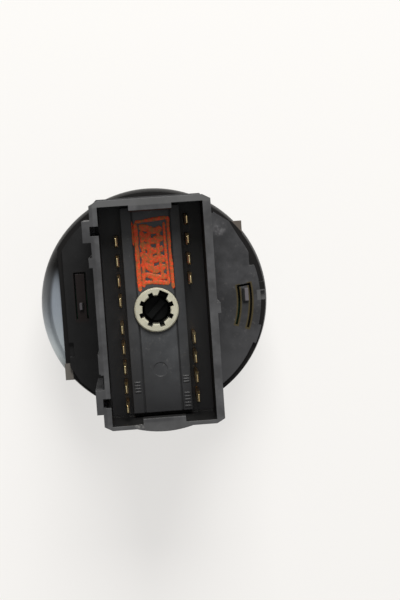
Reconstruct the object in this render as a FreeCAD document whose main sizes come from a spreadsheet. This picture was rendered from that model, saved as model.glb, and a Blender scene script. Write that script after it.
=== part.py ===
"""Rotary headlight switch with two fog-light steps, built in millimetres.

The switch stands on the flat face of its knob at z = 0 and its connector opens upward.
X runs across the connector and Y along its two rows of terminals.
The knob turns the rotor through a splined shaft and pulls the shaft out for the fog lights.
"""
import math
import os

import FreeCAD
import Part
import Sketcher

doc = FreeCAD.newDocument("HeadlightSwitch")

# Driving dimensions
# Heights are stacked from the knob face. Radii are measured from the turning axis.

DIMENSIONS = [
    ("knob_back", 15.0, "depth of the knob"),
    ("dial_gap", 0.6, "gap from the knob to the dial plate"),
    ("dial_thick", 1.6, "thickness of the dial plate"),
    ("guide_thick", 2.2, "thickness of the light guide"),
    ("guide_foot", 1.2, "height of the light guide's feet"),
    ("board_thick", 1.6, "thickness of the lamp board"),
    ("board_room", 3.0, "room between the lamp board and the flange"),
    ("front_layer", 1.0, "thickness of the flange's front layer"),
    ("plate_layer", 1.4, "thickness of the flange's raised plate"),
    ("spring_depth", 7.0, "distance of the pull detent spring behind the knob"),
    ("pull_step", 3.0, "travel from one fog step to the next"),
    ("fork_room", 0.6, "room left between the flange and the fork when pulled out"),
    ("fork_thick", 1.5, "thickness of the fog slider's fork"),
    ("divider_room", 1.5, "room between the fork and the bearing plate"),
    ("divider_thick", 1.4, "thickness of the bearing plate"),
    ("drum_height", 3.4, "height of the rotor drum"),
    ("drum_room", 0.5, "room between the drum and the contact tracks"),
    ("track_thick", 0.5, "thickness of the contact tracks"),
    ("floor_thick", 2.6, "thickness of the terminal block's floor"),
    ("platform_rise", 3.9, "height of the centre platform above the floor"),
    ("hub_rise", 1.1, "height of the splined hub above the platform"),
    ("shaft_sink", 4.5, "depth of the shaft's end inside the hub"),
    ("pin_rise", 10.0, "height of the terminals above the floor"),
    ("rim_rise", 4.4, "height of the shroud's rim above the terminals"),
    ("turn_step", 30.0, "angle from one lamp position to the next"),
    ("running_gap", 0.08, "radial clearance of turning and sliding fits"),
    ("seat_gap", 0.05, "clearance of fixed fits"),
    ("bezel_radius", 31.0, "largest radius of the bezel"),
    ("bezel_wall", 5.8, "width of the bezel outside the carrier's skirt"),
    ("lip_width", 1.2, "width of the bezel's lip over the dial plate"),
    ("dial_ring", 5.5, "width of the dial between the knob and the lip"),
    ("skirt_thick", 1.3, "thickness of the carrier's skirt"),
    ("knob_round", 1.2, "rounding of the knob face's edge"),
    ("knob_rim", 3.1, "width of the knob's rim around the finger scoops"),
    ("scoop_floor", 6.8, "depth of the finger scoops"),
    ("grip_half", 4.5, "half the width of the grip bar"),
    ("trim_width", 2.4, "width of the knob's trim ring"),
    ("pointer_length", 7.0, "length of the knob's pointer"),
    ("pointer_half", 0.7, "half the width of the pointer"),
    ("socket_floor", 4.0, "height of the floor of the knob's socket"),
    ("shaft_radius", 4.5, "radius of the shaft"),
    ("rib_height", 0.95, "height of the shaft's ribs"),
    ("tooth_gap", 0.2, "clearance between the shaft's core and the hub's teeth"),
    ("slot_gap", 0.15, "clearance between the shaft's ribs and the hub's slots"),
    ("slot_half", 0.62, "half the width of a hub slot"),
    ("master_slot_half", 1.225, "half the width of the wide slot"),
    ("master_extra", 0.5, "extra depth of the wide slot"),
    ("hub_wall", 1.15, "wall of the hub outside its slots"),
    ("slot_angle", 18.0, "angle of the first hub slot"),
    ("master_angle", 63.0, "angle of the wide slot"),
    ("journal_step", 1.35, "step from the hub to the rotor's front journal"),
    ("inner_track_wide", 1.3, "width of the feed track"),
    ("track_spacing", 1.6, "space between the feed track and the outer tracks"),
    ("outer_track_wide", 1.6, "width of the outer tracks"),
    ("drum_inset", 0.4, "distance of the drum's edge inside the outer tracks"),
    ("notch_depth", 0.9, "depth of the detent notches"),
    ("leaf_room", 1.65, "distance of the leaf spring's back from the drum"),
    ("flange_inset", 0.9, "distance of the flange's edge inside the bezel's"),
    ("plate_inset", 1.3, "distance of the raised plate's edge inside the flange's"),
    ("chord_inset", 4.8, "distance of the flange's straight left edge inside its circle"),
    ("frame_margin", 0.3, "margin of the flange around the shroud"),
    ("drum_side", 2.0, "room between the drum and the chamber's side walls"),
    ("bay_step", 0.4, "step from the chamber's side walls to the plug bay's"),
    ("side_wall", 2.0, "side wall of the connector shroud"),
    ("end_wall", 1.6, "end wall of the connector shroud"),
    ("platform_half_x", 7.5, "half the width of the centre platform"),
    ("row_gap", 1.5, "distance of a terminal row from the platform"),
    ("pin_pitch", 5.0, "spacing of the terminals"),
    ("pin_thick", 0.8, "thickness of a terminal"),
    ("pin_wide", 2.8, "width of a terminal"),
    ("left_row_up", 3.0, "first terminal of the left row above the axis"),
    ("left_row_down", 4.0, "first terminal of the left row below the axis"),
    ("leg_x", 2.5, "half the width of the fog slider's leg"),
    ("strip_thick", 0.3, "thickness of the spring strips"),
]

# Levels, radii and lengths that follow from the driving dimensions

DERIVED = [
    ("dial_front", "knob_back + dial_gap", "front face of the dial plate"),
    ("dial_back", "dial_front + dial_thick", "back face of the dial plate"),
    ("guide_back", "dial_back + guide_thick", "back face of the light guide"),
    ("board_front", "guide_back + guide_foot", "front face of the lamp board"),
    ("board_back", "board_front + board_thick", "back face of the lamp board"),
    ("spring_level", "knob_back + spring_depth", "height of the pull detent spring"),
    ("flange_front", "board_back + board_room", "front face of the carrier flange"),
    ("flange_step", "flange_front + front_layer", "height of the step in the flange"),
    ("flange_back", "flange_step + plate_layer", "back face of the carrier flange"),
    ("fork_front", "flange_back + 2 * pull_step + fork_room", "front face of the fork"),
    ("fork_back", "fork_front + fork_thick", "back face of the fork"),
    ("divider_front", "fork_back + divider_room", "front face of the bearing plate"),
    ("divider_back", "divider_front + divider_thick", "back face of the bearing plate"),
    ("drum_back", "divider_back + drum_height", "back face of the rotor drum"),
    ("track_front", "drum_back + drum_room", "front face of the contact tracks"),
    ("block_front", "track_front + track_thick", "front face of the terminal block"),
    ("block_ledge", "block_front + floor_thick", "back face of the block's floor"),
    ("platform_back", "block_ledge + platform_rise", "top of the centre platform"),
    ("hub_end", "platform_back + hub_rise", "end of the splined hub"),
    ("shaft_end", "hub_end - shaft_sink", "end of the shaft"),
    ("pin_tip", "block_ledge + pin_rise", "tip of each terminal"),
    ("rim_end", "pin_tip + rim_rise", "rim of the connector shroud"),
    ("bezel_inner", "bezel_radius - bezel_wall", "radius of the bezel's inner wall"),
    ("lip_radius", "bezel_inner - lip_width", "radius of the bezel opening"),
    ("knob_radius", "lip_radius - dial_ring", "radius of the knob at its back"),
    ("knob_face_radius", "knob_radius - knob_round - 0.2", "radius of the flat knob face"),
    ("scoop_radius", "knob_radius - knob_rim", "radius of the finger scoops"),
    ("skirt_outer", "bezel_inner - seat_gap", "outer radius of the carrier's skirt"),
    ("skirt_inner", "skirt_outer - skirt_thick", "inner radius of the carrier's skirt"),
    ("lamp_circle", "skirt_inner - 2.6", "radius of the circle of lamps and marks"),
    ("rib_radius", "shaft_radius - 0.15", "radius over the shaft's ribs"),
    ("core_radius", "rib_radius - rib_height", "radius of the shaft between its ribs"),
    ("tooth_radius", "core_radius + tooth_gap", "radius to the hub's tooth tips"),
    ("slot_radius", "rib_radius + slot_gap", "radius to the bottom of the hub's slots"),
    ("master_slot_radius", "slot_radius + master_extra", "radius to the bottom of the wide slot"),
    ("hub_radius", "slot_radius + hub_wall", "outer radius of the splined hub"),
    ("journal_radius", "hub_radius + journal_step", "radius of the rotor's front journal"),
    ("inner_track_in", "journal_radius + 0.3", "inner radius of the feed track"),
    ("inner_track_out", "inner_track_in + inner_track_wide", "outer radius of the feed track"),
    ("outer_track_in", "inner_track_out + track_spacing", "inner radius of the outer tracks"),
    ("outer_track_out", "outer_track_in + outer_track_wide", "outer radius of the outer tracks"),
    ("drum_radius", "outer_track_out - drum_inset", "radius of the rotor drum"),
    ("leaf_back", "drum_radius + leaf_room", "back of the leaf spring at its ends"),
    ("fog_y", "leaf_back + 4.45", "middle of the fog slider's leg"),
    ("guide_post_y", "fog_y + 4.3", "middle of the post that guides the fog slider"),
    ("flange_radius", "bezel_radius - flange_inset", "radius of the flange's front layer"),
    ("plate_radius", "flange_radius - plate_inset", "radius of the flange's raised plate"),
    ("chord_left", "flange_radius - chord_inset", "distance of the flange's left edge"),
    ("plate_left", "chord_left - 1.25", "distance of the raised plate's left edge"),
    ("chamber_half_x", "drum_radius + drum_side", "half the width of the contact chamber"),
    ("chamber_half_y", "max(4.5 * pin_pitch + 4.6; guide_post_y + 5.3)",
     "half the length of the contact chamber, for the rows and for the fog slider"),
    ("bay_half_x", "chamber_half_x - bay_step", "half the width of the plug bay"),
    ("bay_half_y", "chamber_half_y - 0.2", "half the length of the plug bay"),
    ("shroud_half_x", "bay_half_x + side_wall", "half the width of the connector shroud"),
    ("shroud_half_y", "bay_half_y + end_wall", "half the length of the connector shroud"),
    ("platform_half_y", "bay_half_y - 0.7", "half the length of the centre platform"),
    ("row_x", "platform_half_x + row_gap", "distance of a terminal row from the middle"),
]

sheet = doc.addObject("Spreadsheet::Sheet", "Sizes")
for row, (alias, content, meaning) in enumerate(DIMENSIONS + DERIVED, start=1):
    sheet.set(f"A{row}", meaning)
    sheet.set(f"B{row}", f"={content}")
    sheet.setAlias(f"B{row}", alias)
doc.recompute()

# Sizes that carry both their number and their sheet formula


class Size:
    """A number together with the sheet formula that it comes from."""

    def __init__(self, number, formula):
        self.number = float(number)
        self.formula = formula

    def __add__(self, other):
        other = as_size(other)
        return Size(self.number + other.number, f"({self.formula} + {other.formula})")

    def __sub__(self, other):
        other = as_size(other)
        return Size(self.number - other.number, f"({self.formula} - {other.formula})")

    def __mul__(self, other):
        other = as_size(other)
        return Size(self.number * other.number, f"({self.formula} * {other.formula})")

    def __truediv__(self, other):
        other = as_size(other)
        return Size(self.number / other.number, f"({self.formula} / {other.formula})")

    def __radd__(self, other):
        return as_size(other) + self

    def __rsub__(self, other):
        return as_size(other) - self

    def __rmul__(self, other):
        return as_size(other) * self

    def __neg__(self):
        return as_size(0.0) - self


def as_size(value):
    return value if isinstance(value, Size) else Size(value, f"({float(value):.6f})")


def cos_of(angle):
    angle = as_size(angle)
    return Size(math.cos(math.radians(angle.number)), f"cos({angle.formula} * 1 deg)")


def sin_of(angle):
    angle = as_size(angle)
    return Size(math.sin(math.radians(angle.number)), f"sin({angle.formula} * 1 deg)")


def root_of(value):
    return Size(math.sqrt(value.number), f"sqrt({value.formula})")


class Named:
    pass


S = Named()
for alias, content, meaning in DIMENSIONS + DERIVED:
    setattr(S, alias, Size(sheet.get(alias), f"Sizes.{alias}"))

# Building blocks for bodies, sketches and features

parts = {}


def new_part(name, label):
    part = doc.addObject("PartDesign::Body", name)
    part.Label = label
    parts[name] = part
    return part


def origin_of(part, role):
    return [item for item in part.Origin.OriginFeatures if item.Role == role][0]


def box(x0, x1, y0, y1):
    """A rectangle as a loop of corners."""
    return [(x0, y0), (x1, y0), (x1, y1), (x0, y1)]


def circle(x, y, radius):
    return ("circle", x, y, radius)


def arc_band(inner, outer, start, end):
    """A flat ring sector. A corner's third and fourth values bend the edge that leaves it."""
    return [
        (inner * cos_of(start), inner * sin_of(start)),
        (outer * cos_of(start), outer * sin_of(start), outer, 1),
        (outer * cos_of(end), outer * sin_of(end)),
        (inner * cos_of(end), inner * sin_of(end), inner, -1),
    ]


def edge_between(a, b, bend):
    """The line or arc from a to b, with which of its ends is its start and which its end."""
    start = FreeCAD.Vector(a[0], a[1], 0)
    end = FreeCAD.Vector(b[0], b[1], 0)
    if bend is None:
        return Part.LineSegment(start, end), 1, 2
    radius, turn = bend
    half = (end - start).Length / 2
    across = FreeCAD.Vector(start.y - end.y, end.x - start.x, 0).normalize()
    centre = (start + end) * 0.5 + across * (turn * math.sqrt(max(radius ** 2 - half ** 2, 0.0)))
    first, last = (start, end) if turn > 0 else (end, start)
    a0 = math.atan2(first.y - centre.y, first.x - centre.x)
    a1 = math.atan2(last.y - centre.y, last.x - centre.x)
    whole = Part.Circle(centre, FreeCAD.Vector(0, 0, 1), radius)
    curve = Part.ArcOfCircle(whole, a0, a1 if a1 > a0 else a1 + 2 * math.pi)
    return (curve, 1, 2) if turn > 0 else (curve, 2, 1)


def draw(part, name, plane, loops, offset=0.0, turn=0.0, closed=True):
    """A fully constrained sketch whose corners follow the sheet."""
    sketch = part.newObject("Sketcher::SketchObject", name)
    sketch.AttachmentSupport = [(origin_of(part, plane), "")]
    sketch.MapMode = "FlatFace"
    offset = as_size(offset)
    turn = as_size(turn)
    sketch.AttachmentOffset = FreeCAD.Placement(
        FreeCAD.Vector(0, 0, offset.number), FreeCAD.Rotation(FreeCAD.Vector(0, 0, 1), turn.number)
    )
    sketch.setExpression(".AttachmentOffset.Base.z", offset.formula)
    if turn.number:
        sketch.setExpression(".AttachmentOffset.Rotation.Angle", f"{turn.formula} * 1 deg")
    limits = []
    formulas = []

    def hold(kind, args, value):
        formulas.append((len(limits), value.formula))
        limits.append(Sketcher.Constraint(kind, *args, value.number))

    for loop in loops:
        if loop[0] == "circle":
            x, y, radius = [as_size(value) for value in loop[1:]]
            centre = FreeCAD.Vector(x.number, y.number, 0)
            item = sketch.addGeometry(Part.Circle(centre, FreeCAD.Vector(0, 0, 1), radius.number))
            hold("DistanceX", (-1, 1, item, 3), x)
            hold("DistanceY", (-1, 1, item, 3), y)
            hold("Radius", (item,), radius)
            continue
        corners = [(as_size(corner[0]), as_size(corner[1])) for corner in loop]
        items = []
        for index, corner in enumerate(loop if closed else loop[:-1]):
            here = [value.number for value in corners[index]]
            there = [value.number for value in corners[(index + 1) % len(loop)]]
            bend = None
            if len(corner) == 4:
                bend = (as_size(corner[2]).number, corner[3])
            curve, first, last = edge_between(here, there, bend)
            items.append((sketch.addGeometry(curve), first, last))
        for index, (item, first, last) in enumerate(items):
            if closed or index + 1 < len(items):
                after, after_first, _ = items[(index + 1) % len(items)]
                limits.append(Sketcher.Constraint("Coincident", item, last, after, after_first))
            else:
                hold("DistanceX", (-1, 1, item, last), corners[-1][0])
                hold("DistanceY", (-1, 1, item, last), corners[-1][1])
            hold("DistanceX", (-1, 1, item, first), corners[index][0])
            hold("DistanceY", (-1, 1, item, first), corners[index][1])
            if len(loop[index]) == 4:
                hold("Radius", (item,), as_size(loop[index][2]))
    numbers = sketch.addConstraint(limits)
    for index, formula in formulas:
        sketch.setExpression(f"Constraints[{numbers[index]}]", formula)
    return sketch


def add(part, name, loops, low, high, plane="XY_Plane", turn=0.0):
    """Solid between two levels along the plane's axis."""
    start = -as_size(high) if plane == "XZ_Plane" else as_size(low)
    sketch = draw(part, name + "Sketch", plane, loops, start, turn)
    feature = part.newObject("PartDesign::Pad", name)
    feature.Profile = sketch
    feature.setExpression("Length", (as_size(high) - low).formula)
    return feature


def cut(part, name, loops, low, high, plane="XY_Plane", turn=0.0):
    """Hole between two levels along the plane's axis."""
    start = -as_size(low) if plane == "XZ_Plane" else as_size(high)
    sketch = draw(part, name + "Sketch", plane, loops, start, turn)
    feature = part.newObject("PartDesign::Pocket", name)
    feature.Profile = sketch
    feature.setExpression("Length", (as_size(high) - low).formula)
    return feature


def revolve(part, name, corners):
    """Solid of revolution about Z from a profile of radius and height."""
    sketch = draw(part, name + "Sketch", "XZ_Plane", [corners])
    feature = part.newObject("PartDesign::Revolution", name)
    feature.Profile = sketch
    feature.ReferenceAxis = (sketch, ["V_Axis"])
    feature.Angle = 360.0
    return feature


def around(part, name, feature, count, sweep=360.0):
    """Copies of a feature spread about Z."""
    pattern = part.newObject("PartDesign::PolarPattern", name)
    pattern.Originals = [feature]
    pattern.Axis = (origin_of(part, "Z_Axis"), [""])
    pattern.setExpression("Angle", as_size(sweep).formula)
    pattern.Occurrences = count
    part.Tip = pattern
    return pattern


def place(part, x=0.0, y=0.0, z=0.0, turn=0.0):
    """Moves a finished piece and turns it about Z."""
    x, y, z, turn = [as_size(value) for value in (x, y, z, turn)]
    part.Placement = FreeCAD.Placement(
        FreeCAD.Vector(x.number, y.number, z.number),
        FreeCAD.Rotation(FreeCAD.Vector(0, 0, 1), turn.number),
    )
    part.setExpression(".Placement.Base.x", x.formula)
    part.setExpression(".Placement.Base.y", y.formula)
    part.setExpression(".Placement.Base.z", z.formula)
    if turn.number:
        part.setExpression(".Placement.Rotation.Angle", f"{turn.formula} * 1 deg")


# Knob
# It is a cup with two finger scoops either side of a grip bar. The rim and the bar share
# one flat face, and the hollow back has a D-shaped socket for the shaft.

knob = new_part("knob", "Knob")
trim_front = S.knob_back - 5.4
trim_back = trim_front + S.trim_width
knob_hub = S.shaft_radius + 2.3
cavity_front = S.scoop_floor + 2.0
revolve(knob, "Cup", [
    (0.0, 0.0),
    (S.knob_face_radius, 0.0, S.knob_round, 1),
    (S.knob_face_radius + S.knob_round, S.knob_round),
    (S.knob_radius - 0.1, trim_front - 0.3),
    (S.knob_radius - 0.1, trim_front),
    (S.knob_radius - 0.7, trim_front),
    (S.knob_radius - 0.7, trim_back),
    (S.knob_radius, trim_back),
    (S.knob_radius, S.knob_back),
    (S.knob_radius - 1.9, S.knob_back),
    (S.knob_radius - 1.9, cavity_front),
    (knob_hub, cavity_front),
    (knob_hub, S.knob_back),
    (0.0, S.knob_back),
])
grip_end = root_of(S.scoop_radius * S.scoop_radius - S.grip_half * S.grip_half)
for side in (1, -1):
    cut(knob, "Scoop" + ("Right" if side > 0 else "Left"), [[
        (side * S.grip_half, -side * grip_end, S.scoop_radius, 1),
        (side * S.grip_half, side * grip_end),
    ]], 0.0, S.scoop_floor)
hollow_x = S.grip_half - 1.9
hollow_in = S.shaft_radius + 3.1
hollow_out = S.scoop_radius - 1.8
cut(knob, "GripHollows", [
    box(-hollow_x, hollow_x, hollow_in, hollow_out),
    box(-hollow_x, hollow_x, -hollow_out, -hollow_in),
], 2.4, cavity_front)
flat_x = S.shaft_radius - 1.1
socket_radius = S.shaft_radius - 0.1 + S.seat_gap
flat_y = root_of(socket_radius * socket_radius - (flat_x + S.seat_gap) * (flat_x + S.seat_gap))
cut(knob, "Socket", [[
    (flat_x + S.seat_gap, flat_y, socket_radius, 1),
    (0.0 - socket_radius, 0.0, socket_radius, 1),
    (flat_x + S.seat_gap, -flat_y),
]], S.socket_floor, S.knob_back)
pointer_front = 0.05
pointer_back = 0.85
pointer_out = S.scoop_radius - 0.9
pointer_in = pointer_out - S.pointer_length
cut(knob, "PointerSeat", [
    box(-S.pointer_half - S.seat_gap, S.pointer_half + S.seat_gap,
        pointer_in - S.seat_gap, pointer_out + S.seat_gap),
], 0.0, pointer_back)

# Trim ring
# A bright ring that sits in the groove around the knob.

trim = new_part("knob_trim", "Knob trim ring")
revolve(trim, "Ring", [
    (S.knob_radius - 0.7, trim_front),
    (S.knob_radius + 0.2, trim_front),
    (S.knob_radius + 0.4, trim_front + 0.4),
    (S.knob_radius + 0.4, trim_back - 0.4),
    (S.knob_radius + 0.2, trim_back),
    (S.knob_radius - 0.7, trim_back),
])

# Pointer
# A pale insert let into the grip bar's face.

pointer = new_part("knob_pointer", "Knob pointer")
add(pointer, "Insert", [box(-S.pointer_half, S.pointer_half, pointer_in, pointer_out)],
    pointer_front, pointer_back)

# Shaft
# From the front it has a D-shaped end in the knob, three grooves for the pull detent, a neck
# for the fog fork, and eight ribs that slide in the rotor. One rib is wide, and a raised bar
# crosses the end face.

shaft = new_part("knob_shaft", "Knob shaft")
neck_slack = 0.05
rib_start = S.fork_back + 1.2
profile = [
    (0.0, S.socket_floor),
    (S.shaft_radius - 0.5, S.socket_floor),
    (S.shaft_radius - 0.1, S.socket_floor + 0.4),
    (S.shaft_radius - 0.1, S.knob_back),
    (S.shaft_radius, S.knob_back),
]
for step in range(3):
    level = S.spring_level + step * S.pull_step
    profile += [
        (S.shaft_radius, level - 0.65),
        (S.shaft_radius - 0.5, level - 0.2),
        (S.shaft_radius - 0.5, level + 0.2),
        (S.shaft_radius, level + 0.65),
    ]
profile += [
    (S.shaft_radius, S.fork_front - neck_slack),
    (S.shaft_radius - 1.5, S.fork_front - neck_slack),
    (S.shaft_radius - 1.5, S.fork_back + neck_slack),
    (S.rib_radius, S.fork_back + neck_slack),
    (S.rib_radius, rib_start),
    (S.core_radius, rib_start),
    (S.core_radius, S.shaft_end - 0.4),
    (S.core_radius - 0.4, S.shaft_end),
    (0.0, S.shaft_end),
]
revolve(shaft, "Turned", profile)
rib_half = S.slot_half - S.running_gap
rib = add(shaft, "Rib", [box(S.core_radius - 0.4, S.rib_radius, -rib_half, rib_half)],
          rib_start - 0.2, S.shaft_end - 0.4, turn=S.slot_angle)
around(shaft, "Ribs", rib, 8)
master_half = S.master_slot_half - S.running_gap
add(shaft, "MasterRib", [box(S.core_radius - 0.8, S.rib_radius - 0.1, -master_half, master_half)],
    rib_start - 0.2, S.shaft_end - 0.4, turn=S.master_angle)
cut(shaft, "DriveFlat", [box(flat_x, S.shaft_radius + 1.0, -S.shaft_radius - 1.5, S.shaft_radius + 1.5)],
    S.socket_floor, S.knob_back)
bar_reach = S.core_radius - 0.6
add(shaft, "EndBar", [box(-bar_reach, bar_reach, -0.8, 0.8)], S.shaft_end - 0.2, S.shaft_end + 1.0, turn=45.0)

# Rotor
# The ivory rotor has a front journal, a drum with four detent notches, and the long splined
# hub that shows between the terminals. Three seats on the drum hold the wipers.

rotor = new_part("rotor", "Rotor with splined hub")
axial_gap = 0.05
revolve(rotor, "Turned", [
    (S.tooth_radius, S.divider_front + axial_gap),
    (S.journal_radius, S.divider_front + axial_gap),
    (S.journal_radius, S.divider_back + axial_gap),
    (S.drum_radius, S.divider_back + axial_gap),
    (S.drum_radius, S.drum_back),
    (S.journal_radius - 0.1, S.drum_back),
    (S.journal_radius - 0.1, S.block_front - axial_gap),
    (S.hub_radius, S.block_front - axial_gap),
    (S.hub_radius, S.hub_end - 0.3),
    (S.hub_radius - 0.3, S.hub_end),
    (S.tooth_radius + 0.25, S.hub_end),
    (S.tooth_radius, S.hub_end - 0.25),
])
slot = cut(rotor, "Slot", [box(S.tooth_radius - 0.6, S.slot_radius, -S.slot_half, S.slot_half)],
           S.divider_front, S.hub_end + 0.5, turn=S.slot_angle)
around(rotor, "Slots", slot, 8)
cut(rotor, "MasterSlot",
    [box(S.tooth_radius - 0.9, S.master_slot_radius, -S.master_slot_half, S.master_slot_half)],
    S.divider_front, S.hub_end + 0.5, turn=S.master_angle)
notch = cut(rotor, "Notch", [[
    (S.drum_radius - S.notch_depth, 0.0),
    (S.drum_radius + 0.3, -1.75),
    (S.drum_radius + 0.3, 1.75),
]], S.divider_back, S.drum_back + 0.5, turn=S.turn_step)
around(rotor, "Notches", notch, 4, 3.0 * S.turn_step)
seat_floor = S.drum_back - 0.8
wiper_angles = {"right": 330.0, "left": 210.0, "top": 90.0}
for name, angle in wiper_angles.items():
    cut(rotor, "WiperSeat" + name.title(),
        [box(S.journal_radius + 0.15, S.drum_radius + 0.4, -1.25, 1.25)],
        seat_floor, S.drum_back + 0.5, turn=angle)

# Wipers
# Each is a bent spring strip that bridges the feed track and an outer track. Its two crowns
# rise to the tracks and its ends turn down again.

wiper_top = S.track_front - 0.05
crown_in = S.inner_track_in + S.inner_track_wide / 2.0
crown_out = S.drum_radius - 0.45
under_crown = wiper_top - S.strip_thick - 0.03
end_top = wiper_top - 0.3
for name, angle in wiper_angles.items():
    wiper = new_part("wiper_" + name, "Contact wiper, " + name)
    add(wiper, "Strip", [[
        (crown_in - 0.45, end_top - S.strip_thick),
        (crown_in, under_crown),
        (crown_in + 0.1, under_crown),
        (crown_in + 0.9, seat_floor),
        (crown_out - 0.9, seat_floor),
        (crown_out - 0.1, under_crown),
        (crown_out, under_crown),
        (crown_out + 0.45, end_top - S.strip_thick),
        (crown_out + 0.45, end_top),
        (crown_out, wiper_top),
        (crown_out - 0.2, wiper_top),
        (crown_out - 1.05, seat_floor + S.strip_thick),
        (crown_in + 1.05, seat_floor + S.strip_thick),
        (crown_in + 0.2, wiper_top),
        (crown_in, wiper_top),
        (crown_in - 0.45, end_top),
    ]], -1.1, 1.1, plane="XZ_Plane")
    place(wiper, turn=angle)

# Bezel
# A satin front ring with a rounded back. It stops the dial plate with its front lip.

bezel = new_part("bezel_ring", "Bezel ring")
front_round = as_size(5.5)
back_round = as_size(6.0)
front_fall = as_size(4.6)
back_rise = as_size(5.2)
front_x = S.bezel_radius - front_round + root_of(front_round * front_round - front_fall * front_fall)
back_x = S.bezel_radius - back_round + root_of(back_round * back_round - back_rise * back_rise)
revolve(bezel, "Ring", [
    (S.lip_radius, S.dial_front - 1.6),
    (S.lip_radius + 1.3, S.dial_front - 2.8, 3.0, 1),
    (front_x, S.dial_front + 2.6 - front_fall, front_round, 1),
    (S.bezel_radius, S.dial_front + 2.6),
    (S.bezel_radius, S.flange_front - back_rise, back_round, 1),
    (back_x, S.flange_front),
    (S.bezel_inner, S.flange_front),
    (S.bezel_inner, S.dial_front),
    (S.lip_radius, S.dial_front),
])

# Dial plate
# The dark face around the knob, with a sunk index mark at each lamp position.

dial = new_part("dial_plate", "Dial plate")
boss_radius = S.shaft_radius + 2.6
add(dial, "Disc", [
    circle(0.0, 0.0, S.bezel_inner - S.seat_gap),
    circle(0.0, 0.0, boss_radius + 0.15),
], S.dial_front, S.dial_back)
mark = cut(dial, "Mark", [circle(S.lamp_circle, 0.0, 0.9)], S.dial_front, S.dial_front + 0.3,
           turn=2.0 * S.turn_step)
around(dial, "Marks", mark, 4, 3.0 * S.turn_step)

# Light guide
# A clear ring behind the dial that stands on three feet on the lamp board.

guide = new_part("light_guide", "Light guide ring")
disc_radius = S.skirt_inner - 0.15
add(guide, "Disc", [circle(0.0, 0.0, disc_radius), circle(0.0, 0.0, S.lamp_circle - 2.25)],
    S.dial_back, S.guide_back)
foot = add(guide, "Foot", [box(S.lamp_circle - 0.9, S.lamp_circle + 1.3, -1.1, 1.1)],
           S.guide_back - 0.4, S.board_front, turn=10.0)
around(guide, "Feet", foot, 3)

# Lamp board and its lamps

board = new_part("led_board", "Lamp board")
add(board, "Disc", [circle(0.0, 0.0, disc_radius), circle(0.0, 0.0, boss_radius + 5.3)],
    S.board_front, S.board_back)
cut(board, "KeyNotch", [box(-1.5, 1.5, -disc_radius - 1.0, 1.75 - disc_radius)],
    S.board_front, S.board_back)
case_front = S.board_front - 0.8
for number in range(1, 5):
    lamp = new_part(f"led_{number}", f"Lamp {number}")
    add(lamp, "Case", [box(S.lamp_circle - 1.1, S.lamp_circle + 1.1, -0.9, 0.9)],
        case_front, S.board_front)
    cut(lamp, "Well", [circle(S.lamp_circle, 0.0, 0.6)], case_front, case_front + 0.3)
    place(lamp, turn=(number + 1) * S.turn_step)

# Carrier
# The black flange behind the bezel. It is round with a straight left edge, follows the shroud
# at its ends, and has two square lugs and a snap arm on each side. It also has a skirt for the
# bezel, a bored boss for the shaft, and posts and hooks at the back.

carrier = new_part("front_carrier", "Front carrier")
corner_x = S.shroud_half_x + S.frame_margin
corner_y = S.shroud_half_y + S.frame_margin
corner_bevel = 1.4
corner_frame = [
    (corner_x, corner_y - corner_bevel),
    (corner_x - corner_bevel, corner_y),
    (corner_bevel - corner_x, corner_y),
    (-corner_x, corner_y - corner_bevel),
    (-corner_x, corner_bevel - corner_y),
    (corner_bevel - corner_x, -corner_y),
    (corner_x - corner_bevel, -corner_y),
    (corner_x, corner_bevel - corner_y),
]


def disc_with_flat(radius, flat):
    """A disc about the axis with a straight left edge."""
    reach = root_of(radius * radius - flat * flat)
    return [(-flat, -reach, radius, 1), (radius, 0.0, radius, 1), (-flat, reach)]


def at_angle(radius, angle):
    """A corner at this radius and angle about the axis."""
    return (radius * cos_of(angle), radius * sin_of(angle))


lug_right_x, lug_right_y = at_angle(S.flange_radius + 2.2, 39.6)
lug_left_x, lug_left_y = at_angle(S.flange_radius + 2.02, 217.15)
add(carrier, "FrontLayer", [disc_with_flat(S.flange_radius, S.chord_left)], S.flange_front, S.flange_step)
add(carrier, "FrontFrame", [corner_frame], S.flange_front, S.flange_step)
add(carrier, "Lugs", [
    box(lug_right_x - 4.0, lug_right_x, lug_right_y - 5.0, lug_right_y),
    box(lug_left_x, lug_left_x + 4.0, lug_left_y, lug_left_y + 4.5),
], S.flange_front, S.flange_step)
add(carrier, "RaisedPlate", [disc_with_flat(S.plate_radius, S.plate_left)], S.flange_step, S.flange_back)
add(carrier, "PlateFrame", [corner_frame], S.flange_step, S.flange_back)
add(carrier, "LugWebs", [
    [
        at_angle(S.plate_radius - 6.0, 43.0),
        at_angle(S.plate_radius, 32.8),
        at_angle(S.plate_radius + 0.95, 44.0),
        at_angle(S.plate_radius + 0.4, 53.7),
    ],
    [
        at_angle(S.plate_radius - 6.0, 225.0),
        at_angle(S.plate_radius + 0.1, 217.3),
        at_angle(S.plate_radius + 0.65, 222.8),
        at_angle(S.plate_radius + 0.65, 232.4),
    ],
], S.flange_step, S.flange_back)
cut(carrier, "NotchLeft", [box(-S.plate_left - 1.0, 1.3 - S.plate_left, -13.1, -9.2)],
    S.flange_step, S.flange_back)
add(carrier, "EdgeTabs", [
    arc_band(S.plate_radius - 1.0, S.flange_radius, 2.5, 7.3),
    arc_band(S.plate_radius - 1.0, S.flange_radius - 0.5, -26.0, -16.0),
], S.flange_step, S.flange_back)
add(carrier, "Skirt", [circle(0.0, 0.0, S.skirt_outer), circle(0.0, 0.0, S.skirt_inner)],
    S.dial_back, S.flange_front)
add(carrier, "Boss", [circle(0.0, 0.0, boss_radius)], S.knob_back + 0.05, S.flange_front)
cut(carrier, "ShaftBore", [circle(0.0, 0.0, S.shaft_radius + S.running_gap)],
    S.knob_back, S.flange_back + 1.0)
wire_radius = 0.35
wire_x = S.shaft_radius - 0.5 + wire_radius
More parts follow.
